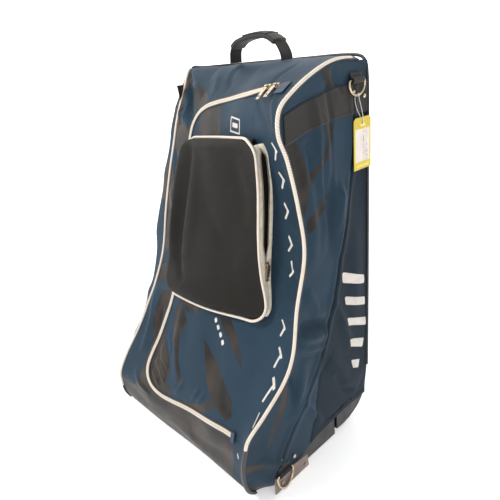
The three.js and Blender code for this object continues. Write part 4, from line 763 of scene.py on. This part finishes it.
# binding over the back top edge and down both back corners
bpts = [(-296, 206, 150), (-297, 207, 400), (-297, 207, 700), (-295, 207, 860), (-291, 208, 899), (-284, 209, 910), (-240, 210, 909), (-110, 210, 912), (20, 210, 915), (140, 211, 918), (240, 211, 920), (280, 210, 916), (293, 207, 905), (297, 207, 880), (298, 207, 700), (298, 207, 400), (297, 206, 150)]
bind = sweep("back_edge_binding", spline(bpts, 260), (0, 0.9, 0.35), circle(3.6, 12, 3.6), DARKPIPE, closed=True, vscale="turns")
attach(bind, "bag"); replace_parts(bind, "back_top_binding")


# ------------------------------------------------------------------------------------------------ webbing bands on the sides
def interp(pts, q):
    p = np.asarray(pts, float); return np.interp(q, p[:, 0], p[:, 1])


def band(name, P, sgn, nodes, y0, y1, low, top):
    """Lays a band on the side grid P between two edge lines given as (y, z)."""
    from_pts = P.reshape(-1, 3)
    yy = np.linspace(y0, y1, 90); ww = np.linspace(0, 1, 15)
    Y = np.repeat(yy[:, None], 15, 1); Z = interp(low, yy)[:, None] * (1 - ww) + interp(top, yy)[:, None] * ww
    X = np.zeros_like(Y); Q = np.stack([Y.ravel(), Z.ravel()], 1); out = np.zeros(len(Q))
    for k in range(0, len(Q), 200):
        d2 = ((from_pts[None, :, 1] - Q[k:k + 200, None, 0]) ** 2 + (from_pts[None, :, 2] - Q[k:k + 200, None, 1]) ** 2)
        idx = np.argpartition(d2, 4, axis=1)[:, :4]; dd = np.take_along_axis(d2, idx, 1) + 0.5
        out[k:k + 200] = (np.abs(from_pts[idx, 0]) / dd).sum(1) / (1 / dd).sum(1)
    X = sgn * (out.reshape(Y.shape) + 2.4)
    e = np.minimum(ww, 1 - ww) * 60
    at = {"seam": np.repeat((e + 1.5)[None], 90, 0), "stitch": np.exp(-((e - 4) / 1.0) ** 2)[None] * np.ones((90, 1)) + np.exp(-((Y - 134) / 1.2) ** 2) * 0.8}
    at["seam"] = np.minimum(at["seam"], np.abs(Y - 134) + 0.6)
    ob = sheet(name, np.stack([X, Y, Z], -1), WEB, np.stack([Y, Z], -1) / 1000, at, 1.8, outward=(sgn, 0, 0))
    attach(ob, "bag"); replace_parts(ob, *nodes); return ob


LOW = [(-68, 779), (-21, 790), (31, 801), (77, 805), (135, 806), (203, 804)]; TOP = [(-72, 834), (-16, 849), (35, 858), (86, 866), (129, 868), (203, 868)]
band("right_band", Ps, 1, ["right_side_band"], -66, 203, LOW, TOP)
band("left_band", Pl, -1, ["left_side_band"], 136, 203, LOW, TOP)

# ------------------------------------------------------------------------------------------------ front pocket
X0, X1, Z0, Z1, RC, DEPTH = -146.0, 200.0, 350.0, 760.0, 44.0, 46.0
POCKET_EDGE = np.array([213, 204, 194, 190, 190.5, 193.5, 195.5, 196.5, 198.0])
POCKET_WALL = np.array([19, 23, 35, 45, 48, 45, 39, 34, 29.0])
MOUTH_Z = 482.0


def table_at(tab, w):
    q = np.clip(w, 0, 1) * (len(tab) - 1); i = np.minimum(len(tab) - 2, np.floor(q).astype(int)); t = q - i
    a, c, d, e = (tab[np.clip(i + k, 0, len(tab) - 1)] for k in (-1, 0, 1, 2))
    return 0.5 * (2 * c + (d - a) * t + (2 * a - 5 * c + 4 * d - e) * t * t + (3 * c - a - 3 * d + e) * t ** 3)


def warp(X, Z):
    X, Z = np.broadcast_arrays(np.asarray(X, float), np.asarray(Z, float))
    t, w = (X - X0) / (X1 - X0), (Z - Z0) / (Z1 - Z0)
    x = X0 + t * (table_at(POCKET_EDGE, w) - X0); lo, hi = 358.5 + 0.055 * x, 757 + 0.115 * x
    return x, lo + w * (hi - lo)


def on_pocket(X, Z, h, dx=0.0):
    s, v = inverse(*warp(X, Z))
    P = front(s, v) + front_n(s, v) * np.asarray(h)[..., None]
    P[..., 0] += dx
    return P


wall_h = lambda Z: table_at(POCKET_WALL, (np.asarray(Z, float) - Z0) / (Z1 - Z0))
depth = lambda X, Z: DEPTH + (wall_h(Z) - DEPTH) * smooth((X - 20) / 180)
PF = [([(-70, 745), (-74, 640), (-84, 520), (-78, 420)], 15, 26, -15), ([(-38, 720), (-34, 600), (-40, 450)], 22, 26, 5), ([(-116, 700), (-118, 560), (-108, 440)], 15, 17, 7), ([(-96, 470), (-66, 425), (-44, 395)], 16, 12, -6),
      ([(40, 700), (80, 600), (60, 480)], 40, 50, 4), ([(90, 430), (140, 450), (170, 520)], 20, 26, 3.5), ([(-60, 382), (40, 384), (130, 388)], 10, 12, 3), ([(-80, 738), (40, 742), (150, 740)], 9, 12, 4),
      ([(120, 720), (150, 640), (160, 560)], 18, 22, -4), ([(10, 600), (60, 560), (110, 500)], 22, 26, -3)]


def rounded(n, rc=RC, inset=0.0):
    """Pocket outline in its own rectangle, as four runs matching in the middle of the corners."""
    a0_, a1_, b0_, b1_, r = X0 + inset, X1 - inset, Z0 + inset, Z1 - inset, rc - inset

    def arc(cx, cz, a0, a1, k=18):
        a = np.radians(np.linspace(a0, a1, k)); return np.stack([cx + r * np.cos(a), cz + r * np.sin(a)], 1)
    L = resample(np.vstack([arc(a0_ + r, b0_ + r, 225, 180), arc(a0_ + r, b1_ - r, 180, 135)]), n)
    Tp = resample(np.vstack([arc(a0_ + r, b1_ - r, 135, 90), arc(a1_ - r, b1_ - r, 90, 45)]), n)
    Rt = resample(np.vstack([arc(a1_ - r, b0_ + r, -45, 0), arc(a1_ - r, b1_ - r, 0, 45)]), n)
    B = resample(np.vstack([arc(a0_ + r, b0_ + r, 225, 270), arc(a1_ - r, b0_ + r, 270, 315)]), n)
    return L, Tp, Rt, B


L_, T_, R_, B_ = rounded(200)
xz = coons(B_, T_, L_, R_, 130, 140)
px, pz = xz[..., 0], xz[..., 1]
dd = RC - np.hypot(px - np.maximum(px, X0 + RC), pz - np.clip(pz, Z0 + RC, Z1 - RC))
rise = np.clip(dd / 26, 0, 1); rise = np.sqrt(np.clip(1 - (1 - rise) ** 2.4, 0, 1))
hh = 3 + (depth(px, pz) - 3) * rise + folds(px, pz, PF) * smooth(dd / 30) * smooth((X1 - px) / 24) + 1.1 * np.sin(px / 27) * np.sin(pz / 35) * smooth(dd / 20)
Pp = on_pocket(px, pz, hh)
pocket = sheet("pocket_fabric", Pp, BLACK, xz / 1000, {}, 2.0, outward=(0, -1, 0))
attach(pocket, "front_door"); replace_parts(pocket, "pocket_panel")

# piping all round: at the sewn foot on the left, top and bottom, climbing to the face's edge beside the zip
lr, tr, rr, br = rounded(150, inset=-1.5)
ring_ = resample(np.vstack([rr[75:0:-1], br[::-1], lr[1:], tr[1:], rr[::-1][1:75]]), 460)
kx = smooth((ring_[:, 0] - (X1 - RC - 34)) / 60)
full = depth(ring_[:, 0], ring_[:, 1])
hgt = (4 + 0.34 * (full - 4)) * (1 - kx) + (full - 2.5) * kx
PP = on_pocket(ring_[:, 0], ring_[:, 1], hgt)
pp = sweep("pocket_cream_piping", PP, front_n(*inverse(*warp(ring_[:, 0], ring_[:, 1]))), circle(3.4, 12), CREAM, closed=True, vscale="turns")
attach(pp, "front_door"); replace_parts(pp, "pocket_piping")

# zipped side: tape on the face's edge, tape on the door, the open mouth between them above the slider
zz = np.linspace(Z0 + 14, Z1 - 10, 190)
over = np.maximum(np.maximum(Z0 + RC - zz, zz - (Z1 - RC)), 0)
xe = X1 - RC + np.sqrt(np.clip(RC ** 2 - over ** 2, 0, None))
T = wall_h(zz)
mo = smooth((zz - MOUTH_Z - 2) / 46) * smooth((744 - zz) / 24)
fa = 0.42 + 0.21 * mo; fb = 0.42 - (0.18 + 0.1 * smooth((zz - 600) / 70)) * mo


def wall(name, h0, h1, n, mat, dx0=0.0, dx1=0.0, belly=0.0):
    w = np.linspace(0, 1, n)
    P = np.stack([on_pocket(xe, zz, h0 + (h1 - h0) * t, dx0 + (dx1 - dx0) * t + belly * math.sin(math.pi * t)) for t in w], 1)
    d = np.concatenate([[0], np.cumsum(np.linalg.norm(np.diff(P[:, 0], axis=0), axis=1))]) / 1000
    uv = np.zeros(P.shape[:2] + (2,)); uv[..., 0] = d[:, None]; uv[..., 1] = (np.stack([h0 + (h1 - h0) * t for t in w], 1)) / 1000
    return sheet(name, P, mat, uv, {}, 1.4, outward=(1, 0, 0))


wt = wall("pocket_tape_outer", fa * T + 0.2, T - 0.5, 10, TAPE, 1.4, 1.8, 1.0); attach(wt, "front_door"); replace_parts(wt, "pocket_zip_tape_front")
wd = wall("pocket_tape_inner", np.full_like(zz, 0.5), fb * T - 0.2, 10, TAPE, 4.5, 1.4, 1.0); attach(wd, "front_door"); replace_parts(wd, "pocket_zip_tape_door")
# black sheet inside the open pocket mouth: painted shade standing in for the shadowed interior seen through the gap
pocket_shade = wall("pocket_shade_sheet", np.full_like(zz, 1.0), T - 3.0, 6, BLACK, -9.0, -7.0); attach(pocket_shade, "front_door")


def teeth(name, f, up_, z0_=488.0, z1_=742.0):
    V, F = [], []
    for q in np.arange(z0_, z1_, 2.3):
        h = np.interp(q, zz, f * T)
        c = on_pocket(np.interp(q, zz, xe), q, np.array(h), 2.0); n_ = front_n(*inverse(*warp(np.interp(q, zz, xe), q)))
        o = len(V)
        for a in (-0.7, 1.1):
            for b in (0.8, -1.7) if up_ else (-0.8, 1.7):
                for e_ in (-0.7, 0.7):
                    V.append(c + np.array([a, 0, 0]) + n_ * b + np.array([0, 0, e_]))
        F += [(o, o + 1, o + 3, o + 2), (o + 4, o + 6, o + 7, o + 5), (o, o + 4, o + 5, o + 1), (o + 2, o + 3, o + 7, o + 6), (o, o + 2, o + 6, o + 4), (o + 1, o + 5, o + 7, o + 3)]
    ob = new_mesh(name, to_m(np.array(V)), F, np.zeros((len(V), 2)), {}, COIL, shade=False)
    fix_normals(ob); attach(ob, "front_door"); return ob


teeth("pocket_teeth_outer", fa, True); teeth("pocket_teeth_inner", fb, False)
zl = np.linspace(Z0 + 30, MOUTH_Z - 6, 60)                          # closed coil below the slider
coilP = on_pocket(np.interp(zl, zz, xe), zl, 0.42 * wall_h(zl), 2.2)
cl = sweep("pocket_closed_coil", coilP, (1, 0, 0), circle(2.2, 8, 0.9), COIL, closed=True)
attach(cl, "front_door")


# ------------------------------------------------------------------------------------------------ rings, keepers, handle
def d_ring(name, yc, ztop, half, drop, sgn, body, node):
    pts = [(yc - half + 5, ztop), (yc, ztop), (yc + half - 5, ztop), (yc + half - 1, ztop - 1.6)]
    pts += [(yc + half * math.cos(a), ztop - 6 - (drop - 6) * math.sin(a)) for a in np.linspace(0.0, math.pi, 16)] + [(yc - half + 1, ztop - 1.6)]
    P = spline([(sgn * 305.4, a, b) for a, b in pts], 120, closed=True)[:-1]
    ob = sweep(name, P, (sgn, 0, 0), circle(2.6, 12), NICKEL, closed=True, vscale="turns", closed_path=True)
    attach(ob, body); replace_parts(ob, node)


def keeper(name, y0, y1, zt, tail, sgn, node):
    k, wth = 5.0, 1.7
    out = [(301.2, zt + tail), (301.4, zt + 8), (302.2, zt + 4.5), (305.4, zt + 4.8), (308.6, zt + 3.4), (310.0, zt), (308.6, zt - 3.4), (305.4, zt - 4.8), (302.4, zt - 4.0), (301.0, zt - 1.5)]
    P = spline([(a, 0, b) for a, b in out], 60)
    yy = np.linspace(y0, y1, 16)
    G = np.stack([np.stack([sgn * P[:, 0], np.full(len(P), q), P[:, 2]], 1) for q in yy], 0)
    e = np.minimum(yy - y0, y1 - yy)[:, None] * np.ones((1, len(P)))
    ob = sheet(name, G, WEB, np.stack([G[..., 1], np.cumsum(np.ones_like(G[..., 1]), 1)], -1) / 1000, {"seam": e + 1.0, "stitch": np.exp(-((e - 3) / 0.9) ** 2)}, 1.6, core=np.array([sgn * 305.4, 0, zt]), outward=(0, 0, 0))
    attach(ob, "bag"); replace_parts(ob, node)


def rivet(name, y, z, sgn, x=300.6, r=4.6):
    prof = [(0.01, 2.6), (r * 0.45, 2.4), (r * 0.8, 1.6), (r, 0.5), (r, 0.0), (0.01, 0.0)]
    n = 20; V = [(sgn * (x + h), y + rr * math.cos(2 * math.pi * k / n), z + rr * math.sin(2 * math.pi * k / n)) for rr, h in prof for k in range(n)]
    F = [(i * n + k, i * n + (k + 1) % n, (i + 1) * n + (k + 1) % n, (i + 1) * n + k) for i in range(len(prof) - 1) for k in range(n)] + [tuple(range(n)), tuple(range((len(prof) - 1) * n, len(prof) * n))]
    ob = new_mesh(name, to_m(np.array(V)), F, np.zeros((len(V), 2)), {}, NICKEL); fix_normals(ob)
    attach(ob, "bag"); return ob


for side_, sg in (("right", 1),):
    d_ring(side_ + "_upper_d_ring", 157, 873, 27, 30, sg, side_ + "_upper_ring_body", side_ + "_upper_ring")
    d_ring(side_ + "_lower_d_ring", -139, 51, 26, 45, sg, side_ + "_lower_ring_body", side_ + "_lower_ring")
    keeper(side_ + "_upper_keeper", 137, 177, 873, 15, sg, side_ + "_upper_ring_tab")
    keeper(side_ + "_lower_keeper", -158, -120, 51, 19, sg, side_ + "_lower_ring_tab")
    rivet(side_ + "_band_rivet_a", 152, 850, sg, 300.8); rivet(side_ + "_band_rivet_b", 190, 838, sg, 300.8)
    rivet(side_ + "_base_rivet_a", -98, 62, sg, 299.0, 5.2); rivet(side_ + "_base_rivet_b", -144, 84, sg, 299.0, 5.2)

HANDLE = [[-77, 917], [-76, 930], [-74, 942], [-67, 954], [-50, 965], [-27, 971], [0, 974], [30, 975], [56, 970], [76, 958.5], [88, 943], [94, 930], [96, 918]]
HYC = 184.0


def strap(name, pts, t, w, n, mat, body, nodes, slot_, bow=0.0):
    P = spline([(a, HYC, b) for a, b in pts], n)
    m = 14; a = np.linspace(-1, 1, m); prof = [(q * w / 2, t / 2 + bow * (1 - q * q)) for q in a] + [(q * w / 2, -t / 2 + bow * 0.6 * (1 - q * q)) for q in a[::-1]]
    ob = sweep(name, P, np.array([0, 0, 1.0]) + np.stack([np.gradient(P[:, 2]) * -1, np.zeros(n), np.gradient(P[:, 0]) * 0], 1), prof, mat, closed=True, vscale="metres")
    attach(ob, body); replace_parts(ob, *nodes); return ob


def strap_xz(name, pts, t, w, n, mat, body, nodes, bow=0.0):
    P = spline([(a, HYC, b) for a, b in pts], n); tt = np.gradient(P, axis=0); tt /= np.linalg.norm(tt, axis=1, keepdims=True)
    nrm = np.stack([-tt[:, 2], np.zeros(n), tt[:, 0]], 1)
    m = 14; a = np.linspace(-1, 1, m); ring = [(q * w / 2, t / 2 + bow * (1 - q * q)) for q in a] + [(q * w / 2, -t / 2 - bow * 0.3 * (1 - q * q)) for q in a[::-1]]
    ring = np.array(ring)
    V = P[:, None] + np.array([0, 1.0, 0])[None, None] * ring[None, :, 0:1] + nrm[:, None] * ring[None, :, 1:2]
    nv = len(ring); d = np.concatenate([[0], np.cumsum(np.linalg.norm(np.diff(P, axis=0), axis=1))]) / 1000
    uv = np.zeros((n, nv, 2)); uv[..., 0] = d[:, None]; uv[..., 1] = ring[None, :, 0] / 1000
    e = (w / 2 - np.abs(ring[:, 0]))[None] * np.ones((n, 1))
    ob = new_mesh(name, to_m(V.reshape(-1, 3)), grid_faces(n, nv, False, True) + [tuple(range(nv)), tuple((n - 1) * nv + k for k in range(nv))], uv.reshape(-1, 2), {"seam": (e + 1.2).ravel(), "stitch": np.exp(-((e - 4) / 1.0) ** 2).ravel()}, mat)
    fix_normals(ob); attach(ob, body)
    if nodes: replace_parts(ob, *nodes)
    return ob


strap_xz("handle_webbing", HANDLE, 3.4, 38, 90, WEB, "handle", ["handle_strap"])
strap_xz("handle_wrap_inner", HANDLE[3:10], 10.0, 44, 70, SLEEVE, "handle", ["handle_sleeve"], 3.0)
strap_xz("handle_wrap_flap", [[-24, 978.4], [0, 981], [30, 982], [54, 977.6]], 2.4, 45, 40, SLEEVE, "handle", [], 2.0)

# ------------------------------------------------------------------------------------------------ materials on the frame's own nodes
def give(names, mat, bevel=0.0):
    for n in names:
        ob = NODES[n]
        ob.data.materials.clear(); ob.data.materials.append(mat)
        if bevel:
            md = ob.modifiers.new("edge", "BEVEL"); md.width = bevel / 1000; md.segments = 2; md.limit_method = "ANGLE"; md.angle_limit = math.radians(35)


give(["rear_guard", "base_tray", "right_wheel_housing", "left_wheel_housing"], BLKPL, 0.8)
give(["right_lower_bracket", "left_lower_bracket", "right_base_runner", "left_base_runner"], TAUPE, 0.6)
give(["back_board", "base_board", "upper_shelf", "lower_shelf"], BOARD, 0.6)
give(["right_back_stay", "left_back_stay", "right_axle", "left_axle"], STEEL, 0.3)
give(["right_wheel_hub", "left_wheel_hub"], HUB, 0.5)
give(["right_wheel_tyre", "left_wheel_tyre"], RUBBER, 0.5)
give(["main_zip_slider", "second_zip_slider", "pocket_slider"], NICKEL, 0.9)
give(["main_zip_pull", "second_zip_pull", "pocket_zip_pull"], NICKEL, 0.35)
TAB = Mat("navy_tab"); _n = TAB.noise(TAB.obj(), 60.0, 4)
TAB.out(TAB.mix(TAB.ramp(_n, 0.3, 0.7), hexc(28, 54, 80), hexc(22, 44, 66)), 0.65, 0, TAB.bump(TAB.noise(TAB.obj(), 900.0, 2), 0.0006, 0.8), sheen=0.2)
give(["zip_end_tab_upper", "zip_end_tab_lower"], TAB.m, 0.9)


def tag_material():
    m = Mat("tag_card"); x, y, z = m.xyz(m.obj())
    u = m.math("MULTIPLY", m.math("SUBTRACT", y, (153.5) / 1000), 1000.0); w = m.math("MULTIPLY", m.math("SUBTRACT", z, 686 / 1000), 1000.0)
    inside = m.math("MULTIPLY", m.math("MULTIPLY", m.math("GREATER_THAN", u, 5.0), m.math("LESS_THAN", u, 58.0)), m.math("MULTIPLY", m.math("GREATER_THAN", w, 17.0), m.math("LESS_THAN", w, 87.0)))
    rows = m.math("GREATER_THAN", m.math("SINE", m.math("MULTIPLY", u, 0.95)), 0.35)
    words = m.math("GREATER_THAN", m.noise(m.obj(), 330.0, 1), 0.5)
    text = m.math("MULTIPLY", m.math("MULTIPLY", rows, words), m.math("MULTIPLY", m.math("GREATER_THAN", u, 30.0), m.math("LESS_THAN", u, 52.0)))
    head = m.math("MULTIPLY", m.math("MULTIPLY", m.math("GREATER_THAN", w, 92.0), m.math("LESS_THAN", w, 98.0)), m.math("MULTIPLY", m.math("GREATER_THAN", u, 24.0), m.math("LESS_THAN", u, 40.0)))
    foot = m.math("MULTIPLY", m.math("MULTIPLY", m.math("GREATER_THAN", w, 5.0), m.math("LESS_THAN", w, 10.0)), m.math("GREATER_THAN", m.math("SINE", m.math("MULTIPLY", u, 1.5)), -0.2))
    foot = m.math("MULTIPLY", foot, m.math("MULTIPLY", m.math("GREATER_THAN", u, 10.0), m.math("LESS_THAN", u, 54.0)))
    paper = m.mix(m.ramp(m.noise(m.obj(), 40.0, 3), 0.3, 0.7), hexc(226, 216, 206), hexc(214, 204, 196))
    paper = m.mix(m.math("MULTIPLY", text, 0.7), paper, hexc(96, 88, 86))
    yel = m.mix(m.ramp(m.noise(m.obj(), 30.0, 3), 0.3, 0.7), hexc(214, 190, 34), hexc(200, 174, 24))
    yel = m.mix(m.math("MULTIPLY", m.math("ADD", head, foot), 0.7), yel, hexc(240, 232, 160))
    return m.out(m.mix(inside, yel, paper), 0.42, 0, m.bump(m.noise(m.obj(), 500.0, 2), 0.0002, 0.5), coat=0.2)


give(["hang_tag"], tag_material(), 0.3)

# string: over the ring, down to the tag's hole and back up behind it
sp = spline([(305.4, 156.5, 847.0), (308.8, 156.5, 846.6), (309.9, 157, 838), (309.9, 164, 820), (309.7, 171, 800), (309.3, 172.4, 790), (308.4, 172.6, 784.6), (305.4, 172.6, 784.8), (304.4, 170, 796), (303.4, 158, 816), (302.4, 153, 834), (302.05, 155.5, 845)], 70)
string = sweep("tag_string_loop", sp, (1, 0.1, 0.1), circle(0.75, 8), STRING, closed=True, vscale="turns")
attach(string, "tag"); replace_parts(string, "tag_string")

# ------------------------------------------------------------------------------------------------ floor and light
fl = bpy.data.meshes.new("floor"); fl.from_pydata([(-60, -60, 0), (60, -60, 0), (60, 60, 0), (-60, 60, 0)], [], [(0, 1, 2, 3)])
floor = bpy.data.objects.new("floor", fl); bpy.context.scene.collection.objects.link(floor)


def pale(name, col, glow):
    m = Mat(name); m.out(m.mix(m.ramp(m.noise(m.obj(), 2.0, 2), 0.3, 0.7), col, tuple(c + 0.02 for c in col)), 0.9, 0)
    b_ = next(n for n in m.m.node_tree.nodes if n.type == "BSDF_PRINCIPLED")
    b_.inputs["Emission Color"].default_value = (1, 1, 1, 1); b_.inputs["Emission Strength"].default_value = glow
    return m.m


fl.materials.append(pale("floor_pale", (0.86, 0.86, 0.86), 0.42))
bc = campos / 1000 + fwd * 7.0
bd = bpy.data.meshes.new("backdrop")
bd.from_pydata([tuple(bc + Rv * a_ * 14 + np.array([0, 0, b__ * 14 + 6])) for a_, b__ in ((-1, -1), (1, -1), (1, 1), (-1, 1))], [], [(0, 1, 2, 3)])
bdo = bpy.data.objects.new("backdrop", bd); bpy.context.scene.collection.objects.link(bdo)
bd.materials.append(pale("backdrop_pale", (0.9, 0.9, 0.9), 1.0))
w = bpy.data.worlds.new("studio"); bpy.context.scene.world = w; w.use_nodes = True
w.node_tree.nodes["Background"].inputs[0].default_value = (1, 1, 1, 1); w.node_tree.nodes["Background"].inputs[1].default_value = 0.62


def area(name, loc, size, power, target=(0, 0, 0.5)):
    l = bpy.data.lights.new(name, "AREA"); l.size = size; l.energy = power
    o = bpy.data.objects.new(name, l); bpy.context.scene.collection.objects.link(o); o.location = loc
    o.rotation_euler = (Vector(target) - Vector(loc)).to_track_quat("-Z", "Y").to_euler(); return o


area("key", (-0.9, -1.9, 2.7), 0.7, 64); area("fill", (2.6, -0.5, 1.6), 1.2, 13); area("rim", (0.6, 2.2, 2.4), 1.6, 6)
bpy.context.scene.view_settings.view_transform = "Standard"
